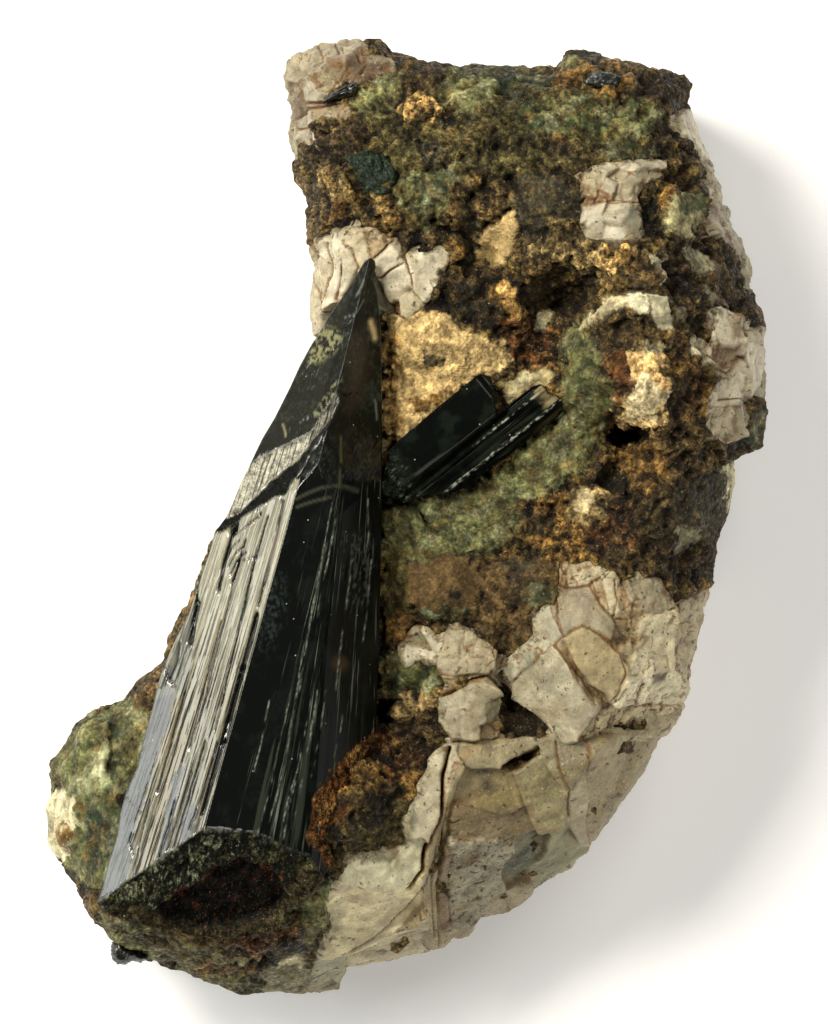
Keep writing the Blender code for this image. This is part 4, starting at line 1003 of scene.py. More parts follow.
# Stains and crusts on the blocks: colour, how much covers, and where.
MASS_PATCHES = {
    "feldspar_crown": [
        (BROWN, 0.8, "292,100 304,84 308,104 298,122"), (UMBER, 0.7, "360,40 394,54 376,66 364,56"),
    ],
    "feldspar_block_row": [
        (UMBER, 0.8, "374,228 400,232 396,246 382,240"), (STAIN, 0.6, "394,244 404,250 408,262 400,256"),
    ],
    "feldspar_right_strip": [],
    "feldspar_right_cluster": [
        (STAIN, 0.8, "728,300 744,316 742,346 730,340"), (BROWN, 0.7, "740,398 756,396 750,420 738,424"),
    ],
    "feldspar_upper_cluster": [(STAIN, 0.5, "576,196 600,198 596,212 580,214")],
    "feldspar_middle_pair": [
        (OCHRE, 0.6, "440,660 448,676 444,690 434,686"), (OCHRE, 0.5, "446,630 452,642 448,652 444,640"),
    ],
    "feldspar_lower_cluster": [
        (OCHRE, 0.5, "556,566 570,562 568,592 558,596"), (BROWN, 0.6, "588,704 606,700 600,716 586,722"),
        (DEEP_STAIN, 0.9, "650,674 662,672 664,682 654,686"),
    ],
    "feldspar_foot": [
        (DEEP_STAIN, 0.9, "476,774 488,768 492,784 500,792 484,792"),
        (OCHRE, 0.9, "446,800 458,796 466,806 456,820 446,812"),
        (OCHRE, 0.5, "462,744 476,742 468,756 454,766"),
        (STAIN, 0.6, "500,814 530,806 540,816 516,824 480,826"),
        (OCHRE, 0.5, "462,852 478,850 478,864 464,866"),
        (MOSS, 0.8, "345,862 372,850 404,838 408,808 414,806 412,838 384,856"),
        (STAIN, 0.7, "384,846 398,842 400,852 388,856"),
        (FAWN, 0.6, "340,940 400,900 420,900 400,926 360,946"),
        (SAGE, 0.5, "310,930 340,900 346,916 326,950 312,960"),
        (OCHRE, 0.4, "344,884 380,886 372,900 340,904"),
    ],
}
# How bright each mass is, against its blocks' own colours.
MASS_SHADES = {
    "feldspar_crown": 0.66, "feldspar_block_row": 1.06, "feldspar_right_cluster": 1.1,
    "feldspar_middle_pair": 0.95, "feldspar_upper_cluster": 0.85,
}
spar = Finish("feldspar")
spar_cloud = spar.noise(2.6, 5.0, 0.65)
spar_fine_grain = spar.noise(0.34, 4.0, 0.7)
spar_specks = spar.noise(0.7, 2.0, 0.5)
spar_crumbly = spar.measure("grit")
spar_crack = spar.measure("crack")
# Dark grains are strung out along the cleavage of the crumbly parts.
spar_cleavage = spar.node("ShaderNodeMapping", {"vector_type": "TEXTURE"}, {
    "Vector": spar.place(), "Rotation": (0.0, 0.0, 0.46), "Scale": (3.4, 1.0, 1.8),
})
spar_strings = spar.noise(0.95, 3.0, 0.62, where=spar_cleavage)
spar_veils = spar.noise(2.4, 4.0, 0.6, where=spar_cleavage)
spar_strung = spar.between(spar_strings, 0.59, 0.65) * spar.between(spar_veils, 0.58, 0.46)
spar_base = spar.measure("tint", "Color")
for share, colour in (
    (spar.between(spar_cloud, 0.46, 0.68) * 0.42, (132, 114, 76)),
    (spar.between(spar_fine_grain, 0.36, 0.50, 1.0, 0.0) * (spar_crumbly * 0.55 + 0.25), (92, 76, 46)),
    # painted highlights: pale flecks where the fine grain stands high
    (spar.between(spar_fine_grain, 0.58, 0.72) * (spar_crumbly * 0.5 + 0.32), (236, 228, 206)),
    (spar.between(spar_veils, 0.44, 0.62) * (spar_crumbly * 0.4), (196, 186, 152)),
    (spar_strung * spar.between(spar_crumbly, 0.22, 0.45) * 0.9, (54, 42, 26)),
    (spar.between(spar.measure("hollow"), 0.012, 0.14) * 0.6, (104, 76, 42)),
    (spar.between(spar_crack + (spar_fine_grain - 0.5) * 1.2, 0.35, 0.9) * 0.85, (112, 78, 40)),
    (spar.between(spar_crack + (spar_fine_grain - 0.5) * 0.5, 0.85, 1.1) * 0.9, DEEP_STAIN),
    (spar.between(spar_specks + spar_crumbly * 0.05, 0.66, 0.71) * 0.8, (56, 44, 26)),
):
    spar_base = spar.blend(share, spar_base, colour)
spar_relief = spar.bump(spar_cloud, 0.25, 0.35)
spar.wear(
    Base_Color=spar_base,
    Roughness=spar.between(spar_fine_grain, 0.3, 0.7, 0.30, 0.58) + spar_crumbly * 0.2,
    Specular_IOR_Level=0.45,
    Subsurface_Weight=0.08,
    Subsurface_Scale=0.0010,
    Normal=spar.bump(spar_fine_grain * (spar_crumbly * 0.9 + 0.15), 0.28, 1.0, under=spar_relief),
)


def split_finer(places, extra, faces, keep_edges):
    """Cuts every triangle in four, leaving the edges listed as they are. Extra columns are averaged."""
    columns = np.column_stack([places, extra])
    middles, finer, added = {}, [], []

    def middle(a, b):
        key = (a, b) if a < b else (b, a)
        if key in keep_edges:
            return None
        if key not in middles:
            middles[key] = len(columns) + len(added)
            added.append(key)
        return middles[key]

    for a, b, c in faces:
        ab, bc, ca = middle(a, b), middle(b, c), middle(c, a)
        if ab is not None and bc is not None and ca is not None:
            finer += [(a, ab, ca), (b, bc, ab), (c, ca, bc), (ab, bc, ca)]
        else:
            ring = [p for p in (a, ab, b, bc, c, ca) if p is not None]
            start = next((i for i, p in enumerate(ring) if p not in (a, b, c)), 0)
            ring = ring[start:] + ring[:start]
            finer += [(ring[0], ring[i], ring[i + 1]) for i in range(1, len(ring) - 1)]
    if added:
        pairs = np.array(added)
        columns = np.vstack([columns, (columns[pairs[:, 0]] + columns[pairs[:, 1]]) / 2])
    return columns, finer


def cleaved_blocks(x, y, blocks, crooked_x, crooked_y):
    """What each spot takes from its block: height, colour, crumbliness and nearness to a joint. Then the two
    nearest blocks and how far the joint between them is."""
    outlines = [drawn(block[-1]) for block in blocks]
    inside = np.array([depth_inside(x + crooked_x, y + crooked_y, outline, 40.0) for outline in outlines])
    lift = []
    for (_, height, right, down, *_), outline in zip(blocks, outlines):
        bx, by = np.mean(outline, axis=0)
        lift.append(height + (right * np.clip(x - bx, -30, 30) + down * np.clip(y - by, -30, 30)) * PIXEL)
    lift = np.array(lift)
    first, second = np.argsort(-inside, axis=0)[:2]
    columns = np.arange(len(x))
    gap = (inside[first, columns] - inside[second, columns]) / 2
    softly = 0.5 * np.exp(-gap / 0.7)
    level = lift[first, columns] * (1 - softly) + lift[second, columns] * softly
    colours = np.array([as_light(block[0]) for block in blocks])
    softly = 0.5 * np.exp(-gap / 1.6)[:, None]
    colour = colours[first] * (1 - softly) + colours[second] * softly
    crumbly = np.array([block[4] for block in blocks])[first]
    return level - 0.2 * np.exp(-gap / 0.9), colour, crumbly, np.exp(-((gap / 1.1) ** 2)), first, second, gap


def flat_blocks(x, y, z, wall, count, first, second, gap):
    """How far each spot lies below the flat face fitted through its block."""
    faces = np.zeros((count, 3))
    spots = np.column_stack([x, y, np.ones(len(x))])
    for number in range(count):
        here = (first == number) & ~wall
        if here.sum() > 30:
            faces[number] = np.linalg.lstsq(spots[here], z[here], rcond=None)[0]
    first = np.where(faces[first].any(axis=1), (spots * faces[first]).sum(axis=1), z)
    second = np.where(faces[second].any(axis=1), (spots * faces[second]).sum(axis=1), z)
    softly = 0.5 * np.exp(-gap / 0.7)
    return np.clip(first * (1 - softly) + second * softly - z, -1.3, 1.3)


def mound(distance, half_width):
    """A rounded mound, 1 in its middle line and near 0 at twice its half width."""
    return np.exp(-((distance / half_width) ** 2))


OVERLAP = 0.9  # how far a mass reaches under the rock, in millimetres
flat_skin = np.array([(f[0], f[i - 1], f[i]) for f in skin_faces for i in range(2, len(f))])
for mass in MASS_OUTLINES:
    depth = skin_masses[mass]
    taken = flat_skin[(depth[flat_skin] > -OVERLAP).all(axis=1)]
    used, taken = np.unique(taken, return_inverse=True)
    taken = taken.reshape(-1, 3)
    owners = {}
    for a, b, c in taken.tolist():
        for pair in ((a, b), (b, c), (c, a)):
            key = (min(pair), max(pair))
            owners[key] = owners.get(key, 0) + 1
    border = {key for key, count in owners.items() if count == 1}
    border_points = {p for key in border for p in key}
    extra = np.column_stack([skin_normals, skin_home_x, skin_home_y, skin_share, skin_x, skin_y])[used]
    columns, outer = split_finer(skin_places[used], extra, taken.tolist(), border)
    places, normals = columns[:, :3], columns[:, 3:6]
    normals = normals / np.linalg.norm(normals, axis=1)[:, None]
    home_x, home_y, share, flat_x, flat_y = columns[:, 6:11].T
    wall = share < 0.999
    down_wall = smooth_step(1.0 - share, 0.0, 0.10)
    warp = 1.7 * grain(places, 2.6, 3, 11), 1.7 * grain(places, 2.6, 3, 12)
    inside = mass_depth(mass, home_x, home_y, places[:, 2], wall, *warp)

    # The blocks on the face, and rubble down the walls. Small blocks split the crumbly parts once more.
    crooked = 1.1 * grain(places, 1.6, 3, 61), 1.1 * grain(places, 1.6, 3, 62)
    level, tint, crumbly, joint, *nearest = cleaved_blocks(flat_x, flat_y, MASS_BLOCKS[mass], *crooked)
    flattened = 0.85 * flat_blocks(flat_x, flat_y, places[:, 2], wall, len(MASS_BLOCKS[mass]), *nearest)
    level += np.minimum(flattened, flattened * smooth_step(depth_inside(flat_x, flat_y, ROCK_EDGE), 2, 12))
    gap, number, _ = chips(places * np.array([1.0, 1.0, 0.8]), 5.0, 63, "CHEBYCHEV")
    wall_relief = rubble(places, 4.6, 64, 0.26) + rubble(places, 1.9, 67, 0.18) + (number - 0.5) * 0.35 - 0.3
    wall_tint = np.tile(as_light(FAWN), (len(places), 1))
    lay(wall_tint, (164, 156, 126), smooth_step(grain(places, 5.0, 3, 76) + 0.3 * (number - 0.5), -0.2, 0.3))
    lay(wall_tint, IVORY, smooth_step(grain(places, 3.0, 3, 77) + 0.4 * (number - 0.5), -0.1, 0.3))
    split, split_number, _ = chips(places * np.array([1.0, 0.75, 0.8]), 1.7, 71, "CHEBYCHEV")
    small_blocks = smooth_step(crumbly, 0.0, 0.35) * (1 - down_wall) * (mass != "feldspar_foot")
    raised = np.clip(level, -2.4, 1.9) * (1 - down_wall) + wall_relief * down_wall
    raised += (0.08 + 0.34 * small_blocks) * (split_number - 0.5) - 0.18 * small_blocks * mound(split, 0.30)
    tint = tint + (wall_tint - tint) * down_wall[:, None]
    tint = tint * (1 + 0.30 * (split_number - 0.5))[:, None]
    crumbly = crumbly + (0.45 - crumbly) * down_wall

    # Stained joints and open cracks.
    ragged = patches(places, 2.4, 3, 75, -0.15, 0.35)
    edge = joint * (1 - down_wall) * (0.35 + 0.6 * ragged) + 0.6 * mound(gap, 0.15) * down_wall * ragged
    edge = np.maximum(edge, (0.3 + 0.7 * small_blocks) * mound(split, 0.30) * ragged)
    for half_width, cut, stain, line in MASS_CRACKS[mass]:
        away = distance_to_line(flat_x + 0.8 * crooked[0], flat_y + 0.8 * crooked[1], drawn(line))
        away = np.where(wall, 50.0, away)
        raised -= cut * mound(away, half_width)
        edge = np.maximum(edge, stain * mound(away, half_width * 1.7))
    raised += 0.10 * rubble(places, 2.6, 66, 1.0)
    raised += crumbly * (rubble(places, 1.2, 68, 0.36) + 0.14 * grain(places, 0.6, 2, 65))

    # The mass rises from under the rock, unless another mass lies beside it.
    others = [other for other in MASS_OUTLINES if other != mass]
    beside = [mass_depth(other, home_x, home_y, places[:, 2], wall, *warp) for other in others]
    beside = smooth_step(np.max(beside, axis=0), -1.8, -0.4)
    height = np.clip(inside * 2.0, -1.5 + 1.1 * beside, 0.0) + raised * smooth_step(inside, -0.3, 0.45)
    toe = smooth_step(places[:, 2], 0.0, 1.5)
    shaped = places + normals * (height * toe)[:, None]
    under = skin_places[used] - skin_normals[used] * (2.2 + np.clip(depth[used], 0, 2.0))[:, None]
    lower_index = np.arange(len(used))
    inner = [p for p in range(len(used)) if p not in border_points]
    lower_index[inner] = len(shaped) + np.arange(len(inner))
    places_all = np.vstack([shaped, under[inner]])
    places_all[:, 2] = np.maximum(places_all[:, 2], 0.0)
    faces = outer + [tuple(lower_index[[c, b, a]]) for a, b, c in taken.tolist()]

    # Stains spread from the joints, pale and ochre streaks follow the cleavage, and the rock's crust laps
    # over the edge of every mass.
    spread_x, spread_y = home_x + 5 * grain(places, 2.2, 3, 72), home_y + 5 * grain(places, 2.2, 3, 73)
    for colour, cover, outline in MASS_PATCHES[mass]:
        lay(tint, colour, smooth_step(depth_inside(spread_x, spread_y, drawn(outline)), -4, 4) * cover)
    strung = np.column_stack([
        places @ np.array([0.9, 0.45, 0.2]) * 0.33, places @ np.array([-0.45, 0.9, 0.0]), places[:, 2] * 0.6,
    ])
    lay(tint, MILK, patches(strung, 1.2, 3, 85, 0.05, 0.5) * 0.35 * down_wall)
    lay(tint, OCHRE, patches(strung, 1.8, 3, 70, 0.15, 0.6) * (0.12 + 0.5 * crumbly))
    tint *= (1 + 0.22 * grain(strung, 1.1, 3, 84))[:, None]
    tint *= (1.0 + 0.30 * grain(places, 1.4, 3, 74))[:, None] * MASS_SHADES.get(mass, 1.0)
    crust = smooth_step(0.9 - inside + 1.1 * grain(places, 1.0, 3, 78), 0.2, 1.1) * (1 - 0.85 * beside)
    lay(tint, TAN, crust * 0.85)
    lay(tint, UMBER, crust * patches(places, 0.5, 2, 79, -0.1, 0.3))
    crumbly = np.clip(crumbly + crust, 0, 1)
    tint = np.vstack([tint, np.tile(as_light(IVORY), (len(inner), 1))])
    none = np.zeros(len(inner))
    piece = add_mesh(
        mass + "_blocks", places_all, faces, tint=np.clip(tint, 0.01, 1.0),
        crack=np.concatenate([np.clip(edge, 0, 1.2), none]), grit=np.concatenate([crumbly, none]),
        hollow=np.concatenate([hollowness(shaped, outer), none]),
    )
    piece.data.materials.append(spar.material)
    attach(piece, "root")
    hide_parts(mass)

# The large aegirine crystal. One black, glossy prism grown in the pocket: a bright striated face on the
# left, two darker faces and a steep side face on the right, a steep tip, and a rough broken lower end.
CREST_HIGH, CREST_LOW = (300, 478, 48.0), (205, 828, 48.0)
LEFT_EDGE_LOW = (98, 903, 42.0)
STREAKED_LOW, STREAKED_HIGH = (255, 835, 46.7), (335, 500, 46.95)
SIDE_LOW, SIDE_HIGH, RIGHT_EDGE_LOW = (318, 760, 44.3), (338, 488, 46.9), (375, 740, 36.5)
TIP, SHOULDER, RIDGE_START = (371, 260, 38.4), (252, 461, 43.4), (337, 390, 44.3)
RIDGE_HIGH, TIP_RIGHT = (367, 275, 38.77), (381, 440, 40.0)
CRYSTAL_EDGE = drawn("""
    98,903 104,884 108,866 114,848 118,834 121,812 126,794 132,780 138,766 143,744 149,722 154,704 158,686
    166,662 178,636 190,612 197,590 202,576 209,556 217,530 226,518 233,504 240,486 252,461 263,438 275,418
    290,388 300,366 312,344 320,332 330,315 341,299 351,284 360,269 365,261 371,258 375,261 376,268 372,277
    377,292 379,310 381,332 382,400 382,500 380,600 378,680 376,730 368,750 352,776 338,800 326,826 326,842
    334,860 326,872 314,890 300,906 290,926 262,934 230,938 196,936 160,928 130,922 110,914
""")
# The prism stops at a broken step; below it lies a gritty ledge, and above the ledge the smooth tip.
FAR_TIP = drawn("460,380 460,100 120,100 120,560")
PRISM_STOP = drawn("""
    222,533 234,527 246,517 262,506 276,499 286,496 296,480 301,473 311,455 322,438 334,420 342,398
""") + FAR_TIP
LEDGE_START = drawn("""
    226,517 240,512 252,500 262,489 272,480 284,470 297,460 307,448 319,435 331,421 338,404 343,394
""") + FAR_TIP


def plane(first, second, third):
    """Height over x and y of the flat face through three places."""
    a, b, c = (np.array(p, float) for p in (first, second, third))
    normal = np.cross(b - a, c - a)
    return lambda x, y: a[2] - (normal[0] * (x - a[0]) + normal[1] * (y - a[1])) / normal[2]


bright_face = plane(CREST_HIGH, CREST_LOW, LEFT_EDGE_LOW)
middle_face = plane(CREST_HIGH, CREST_LOW, STREAKED_LOW)
streaked_face = plane(STREAKED_HIGH, STREAKED_LOW, SIDE_LOW)
side_face = plane(SIDE_HIGH, SIDE_LOW, RIGHT_EDGE_LOW)
broken_face = plane(LEFT_EDGE_LOW, CREST_LOW, (290, 845, 45.0))
tip_face = plane(TIP, SHOULDER, RIDGE_START)
tip_side = plane(RIDGE_START, RIDGE_HIGH, TIP_RIGHT)


def crystal_height(x, y):
    """Height of the crystal's flat faces, with the step and ledge below the tip."""
    prism = np.minimum(bright_face(x, y), middle_face(x, y))
    past_stop = depth_inside(x, y, PRISM_STOP, 40.0)
    past_start = depth_inside(x, y, LEDGE_START, 40.0)
    stepped = np.where(past_start > 0, 1.0, past_stop / np.maximum(past_stop - past_start, 0.1))
    stepped = np.clip(np.where(past_stop < 0, 0.0, stepped), 0, 1)
    left = prism - stepped * (0.95 + 0.0285 * np.clip(x - 252, -30, 90))
    right = np.minimum(streaked_face(x, y), side_face(x, y))
    tip = np.minimum(tip_face(x, y), tip_side(x, y))
    return np.minimum(np.minimum(left, right), np.minimum(tip, broken_face(x, y)))


ALONG = np.array([95.0, -350.0]) / math.hypot(95, 350)
ACROSS = np.array([350.0, 95.0]) / math.hypot(95, 350)


def slanted_grid(corners, along, across, step_along, step_across, clear=0.5):
    """Spots in rows along a crystal's length, close together across it, inside an outline."""
    cx, cy = np.array(corners, float).T
    middle = np.array([cx.mean(), cy.mean()])
    reach = max(np.ptp(cx), np.ptp(cy))
    u = np.arange(-reach, reach, step_along)
    v = np.arange(-reach, reach, step_across)
    grid_u, grid_v = np.meshgrid(u, v, indexing="ij")
    grid_v = grid_v + (np.arange(len(u)) % 2)[:, None] * step_across / 2
    spots = middle + grid_u.reshape(-1, 1) * along + grid_v.reshape(-1, 1) * across
    return spots[depth_inside(spots[:, 0], spots[:, 1], corners) > clear]


def closed_lump(corners, spots, heights, base, lean, rows=8, step=2.0):
    """A closed body under an outline: its top, sides drawn in by `lean` pixels, and a flat underside."""
    loop = evenly_along(corners, step)
    points, triangles = fill_outline(loop, spots)
    x, y = points.T
    z = heights(x, y)
    count = len(loop)
    rim_points, top_z = points[:count], z[:count]
    toward = points.mean(axis=0) - rim_points
    toward /= np.maximum(np.linalg.norm(toward, axis=1), 1.0)[:, None]
    faces, above = list(triangles), np.arange(count)
    for row in range(1, rows + 1):
        share = row / rows
        low = rim_points + toward * lean * share
        below = np.arange(len(x), len(x) + count)
        x, y = np.append(x, low[:, 0]), np.append(y, low[:, 1])
        z = np.append(z, top_z + (base - top_z) * share)
        faces += [(above[i - count + 1], above[i], below[i], below[i - count + 1]) for i in range(count)]
        above = below
    faces.append(tuple(int(i) for i in above[::-1]))
    places = millimetres(x, y, z)
    normals = outward_normals(places, faces)
    if normals[count:len(points), 2].mean() < 0:
        normals, faces = -normals, [f[::-1] for f in faces]
    return x, y, places, normals, faces, len(points)


def grooves(across, along, lines):
    """Fine grooves and ribs along a crystal, each: place, half width, depth, start and end."""
    total = np.zeros(across.shape)
    for place, half_width, depth, start, end in lines:
        fade = smooth_step(along, start, start + 25) * (1 - smooth_step(along, end - 25, end))
        near = np.abs(across - place) < half_width * 3
        total[near] -= depth * fade[near] * mound(across[near] - place, half_width)
    return total


def drawn_out(across, along, layers, seed):
    """Noise drawn out along a crystal, over distances scaled to lumps of one unit."""
    return grain(np.column_stack([across, along, across * 0]), 1.0, layers, seed)


def strips(across, along, low, high, widths, tilt, seed):
    """Long flat strips side by side, each leaning its own way: height and a number for each strip."""
    rng = np.random.default_rng(seed)
    edges = [low]
    while edges[-1] < high:
        edges.append(edges[-1] + rng.uniform(*widths))
    edges = np.array(edges)
    which = np.clip(np.searchsorted(edges, across) - 1, 0, len(edges) - 2)
    lean = rng.normal(0, tilt, len(edges))[which]
    sway = 1 + 0.8 * np.sin(along / rng.uniform(60, 160, len(edges))[which] + which)
    middle = (edges[which] + edges[which + 1]) / 2
    return lean * sway * (across - middle), rng.random(len(edges))[which]


crystal_spots = slanted_grid(CRYSTAL_EDGE, ALONG, ACROSS, 2.5, 0.8)
cx, cy, crystal_places, crystal_normals, crystal_faces, top_count = closed_lump(
    CRYSTAL_EDGE, crystal_spots, crystal_height, 26.6, 30.0, 16)
cz = crystal_places[:, 2]

# Distance along the crystal from its broken end, and across it between its fanned-out long edges, which
# are given by x at the upper and at the lower of two levels.
EDGE_TOP_Y, EDGE_SPAN_Y = 500.0, 350.0
LONG_EDGES = [(227, 110), (295, 199), (334, 253), (341, 300), (382, 372)]
level_y = (cy - EDGE_TOP_Y) / EDGE_SPAN_Y
edge_x = [high + (low - high) * level_y for high, low in LONG_EDGES]
FACE_STARTS = [0.0, 78.0, 118.0, 150.0, 190.0]  # the bright, middle, streaked and side faces, and their end
across = FACE_STARTS[-1] + (cx - edge_x[-1])
for i in range(3, -1, -1):
    span = np.maximum(edge_x[i + 1] - edge_x[i], 1.0)
    between = FACE_STARTS[i] + (cx - edge_x[i]) / span * (FACE_STARTS[i + 1] - FACE_STARTS[i])
    across = np.where(cx < edge_x[i + 1], between, across)
along = (cx - CREST_LOW[0]) * ALONG[0] + (cy - CREST_LOW[1]) * ALONG[1]
on_bright, past_crest = across < FACE_STARTS[1], across > FACE_STARTS[1]
on_streaked = (across > 118) & (across < 152)

# Cuts in the bright face, and bright threads on the dark ones, which are painted highlights along fine ribs:
# half width, depth, and the line they run.
FACE_CUTS = [
    (1.0, 0.25, "264,584 259,606"), (2.0, 0.50, "257,614 251,640 243,668"),
    (2.4, 0.55, "243,668 235,698 229,722 224,742"), (1.6, 0.40, "224,742 216,770 203,812"),
    (2.2, 0.14, "284,500 276,540 269,566 264,584"), (3.2, 0.50, "238,512 236,522 234,532"),
    (1.7, 0.35, "234,530 229,548 224,566 219,590"), (2.6, 0.45, "198,602 194,622 191,642"),
    (1.2, 0.30, "213,530 206,556 199,584 196,602"), (0.9, 0.24, "268,517 258,552 248,588 241,620"),
    (0.7, 0.20, "241,620 232,660 222,704"), (0.7, 0.18, "257,548 247,600 236,642 226,684 216,730"),
    (0.8, 0.22, "240,560 228,606 217,650 207,692 199,724"), (0.8, 0.22, "222,620 210,664 190,748"),
    (1.1, 0.26, "186,690 176,726 166,762 158,790"), (0.9, 0.22, "206,740 192,786 180,826 170,858"),
    (0.8, 0.20, "192,770 178,816 166,856"), (1.2, 0.30, "176,800 168,830 158,862"),
    (0.9, 0.22, "218,742 208,776 198,806 190,828"), (0.8, 0.20, "150,800 143,830 136,862 134,880"),
    (1.0, 0.24, "133,832 130,842 134,854"), (0.9, 0.2, "128,798 136,806 141,812"),
    (0.9, 0.20, "226,560 232,548 240,540"), (0.9, 0.20, "229,567 236,553 244,546"),
    (0.9, 0.20, "231,574 238,560 246,552"), (1.3, 0.24, "246,540 240,560 233,582"),
    (0.8, 0.18, "244,560 254,557 262,558"), (0.9, 0.2, "252,500 262,514 250,524 240,532"),
    (1.0, 0.24, "163,660 168,674 175,686"), (1.0, 0.24, "180,642 178,660 170,680"),
]
HIGHLIGHT_THREADS = [
    (0.9, "332,503 322,560 312,610 304,660 300,690"), (0.8, "336,520 326,570 318,615"),
    (0.8, "328,540 317,590 309,630"), (0.9, "304,640 298,690 286,760 276,800 264,836"),
    (0.8, "312,700 300,760 288,800 280,836"), (0.9, "318,690 310,740 300,790 292,830"),
    (0.7, "292,690 281,740 270,790 258,834"), (0.7, "326,690 320,736 312,776"),
    (0.8, "296,780 288,812 284,838"), (0.7, "270,700 262,740 255,770"), (0.7, "372,560 366,620 362,650"),
    (0.8, "352,560 346,610 340,650 336,690"), (0.7, "368,500 369,530 366,560"),
    (0.7, "345,700 341,730 334,756"),
]


def random_lines(rng, across_range, half_widths, depths, first_start, last_start, lengths, count):
    """Striations at random places across the crystal, each with its half width, depth, start and end."""
    return [
        (rng.uniform(*across_range), rng.uniform(*half_widths), rng.uniform(*depths), start,
         start + rng.uniform(*lengths))
        for start in rng.uniform(first_start, last_start, count)
    ]


rng = np.random.default_rng(12)
striations = random_lines(rng, (14, 77), (0.8, 1.2), (0.03, 0.12), -140, 300, (60, 240), 44)
striations += random_lines(rng, (118, 150), (0.8, 1.3), (0.02, 0.05), -140, 440, (60, 260), 50)
striations += random_lines(rng, (150, 190), (1.0, 2.0), (0.01, 0.03), -140, 500, (80, 260), 24)


def crystal_grain(size, layers, seed):
    """Noise over the crystal, its lumps `size` millimetres across."""
    return grain(crystal_places, size, layers, seed)


def drawn_patch(text, low, high, wander_x=0.0, wander_y=0.0, stepped=False):
    """A patch drawn on the crystal, as a share that rises from `low` to `high` pixels inside its outline,
    smoothly or in steps of one pixel."""
    depth = depth_inside(cx + wander_x, cy + wander_y, drawn(text))
    return smooth_step(np.trunc(depth) if stepped else depth, low, high)


def drawn_line(text, far, near, wander_x=0.0, wander_y=0.0):
    """A line drawn on the crystal, as a share that rises from `far` to `near` pixels beside it."""
    return smooth_step(distance_to_line(cx + wander_x, cy + wander_y, drawn(text)), far, near)


cut = grooves(across, along, striations)
on_side = np.arange(len(cx)) >= top_count
sway = 0.6 * crystal_grain(1.5, 2, 79)
for half_width, deep, line in FACE_CUTS:
    cut -= deep * mound(distance_to_line(cx + sway, cy, drawn(line)), half_width) * on_bright
highlight_thread = np.zeros(len(cx))
for half_width, line in HIGHLIGHT_THREADS:
    highlight_thread = np.maximum(highlight_thread, mound(distance_to_line(cx + sway, cy, drawn(line)), half_width))
highlight_thread *= smooth_step(drawn_out(across * 0.3, along * 0.06, 2, 78), -0.35, 0.2) * past_crest
highlight_thread *= 0.25 + 0.75 * smooth_step(drawn_out(across * 0.5, along * 0.25, 2, 77), -0.1, 0.25)

# Where each part of the crystal shows: the tip, the broken lower end, the ledge, the riser above it, and
# the prism, which is all the rest.
past_stop = depth_inside(cx, cy, PRISM_STOP, 40.0)
past_start = depth_inside(cx, cy, LEDGE_START, 40.0)
top_tip = np.minimum(tip_face(cx, cy), tip_side(cx, cy))
on_tip = smooth_step(top_tip - cz, 0.2, -0.02) * (cy < 480)
on_break = smooth_step(broken_face(cx, cy) - cz, 0.30, -0.05) * smooth_step(cy, 812, 826)
on_left = (across < 118) & ~on_side
on_ledge = smooth_step(past_start, 0.0, 3.0) * (1 - on_tip) * on_left * (across < 117)
on_riser = smooth_step(past_stop, 0.0, 2.0) * smooth_step(-past_start, 0.0, 2.0) * on_left
prism = (1 - on_tip) * (1 - on_break) * (1 - on_riser) * (1 - on_ledge) * ~on_side
strip_height, strip_number = strips(across, along, 0.0, 78.0, (3.0, 9.0), 0.008, 21)
fine_height, _ = strips(across, along, 118.0, 152.0, (2.0, 6.0), 0.012, 22)

# Untouched strips of the bright face: smooth, with a blue-grey painted sheen, the widest along the lower left
# edge.
zone_sway = 2.5 * crystal_grain(1.6, 3, 80)
smooth_zone = np.max([drawn_patch(zone, -1.0, 1.0, zone_sway, stepped=True) for zone in (
    """94,910 108,836 118,790 136,742 152,688 177,684 170,724 158,752 150,780 143,800 134,830 133,856 124,888
    112,902""",
    "158,872 166,810 174,776 182,762 184,772 176,806 168,850 162,876",
    "178,862 184,816 194,800 198,810 190,848 182,866",
)], axis=0)
relief = prism * cut * (1 - 0.7 * smooth_zone)
relief += prism * np.where(on_bright, strip_height * (1 - 0.9 * smooth_zone), 0.0)
relief += prism * np.where(on_streaked, fine_height, 0.0) + prism * 0.04 * highlight_thread
flaky = np.round(3 * crystal_grain(1.3, 2, 90))
relief += on_tip * (0.02 * crystal_grain(0.9, 3, 82) + 0.03 * np.round(2.5 * crystal_grain(2.6, 2, 83)))
relief += on_ledge * (0.12 * crystal_grain(0.6, 3, 89) + 0.05 * flaky)
relief += on_riser * (0.12 * np.round(3 * crystal_grain(1.6, 2, 91)))
core = drawn_patch("""
    155,908 178,893 200,881 213,867 236,859 258,863 281,878 288,896 273,918 236,930 196,932 165,922
""", -2, 4, 4 * crystal_grain(1.5, 2, 84))
lip = drawn_patch("""
    132,900 160,914 196,924 236,922 268,912 282,890 300,868 340,850 345,960 110,960 104,916
""", -5, 5, 5 * crystal_grain(1.8, 2, 81)) * (1 - core)
relief += on_break * (0.26 * crystal_grain(0.6, 3, 86) + rubble(crystal_places, 2.4, 87, 0.62) - 1.6 * core)
relief *= smooth_step(depth_inside(cx, cy, CRYSTAL_EDGE), -0.5, 3.0)
relief[on_side] = 0.25 * grain(crystal_places[on_side], 2.0, 3, 88)
LOWEST_FACE, HIGHEST_FACE = 26.3, 48.0
crystal_shaped = crystal_places + crystal_normals * relief[:, None]
crystal_shaped[:, 2] = np.clip(crystal_shaped[:, 2], LOWEST_FACE, HIGHEST_FACE)

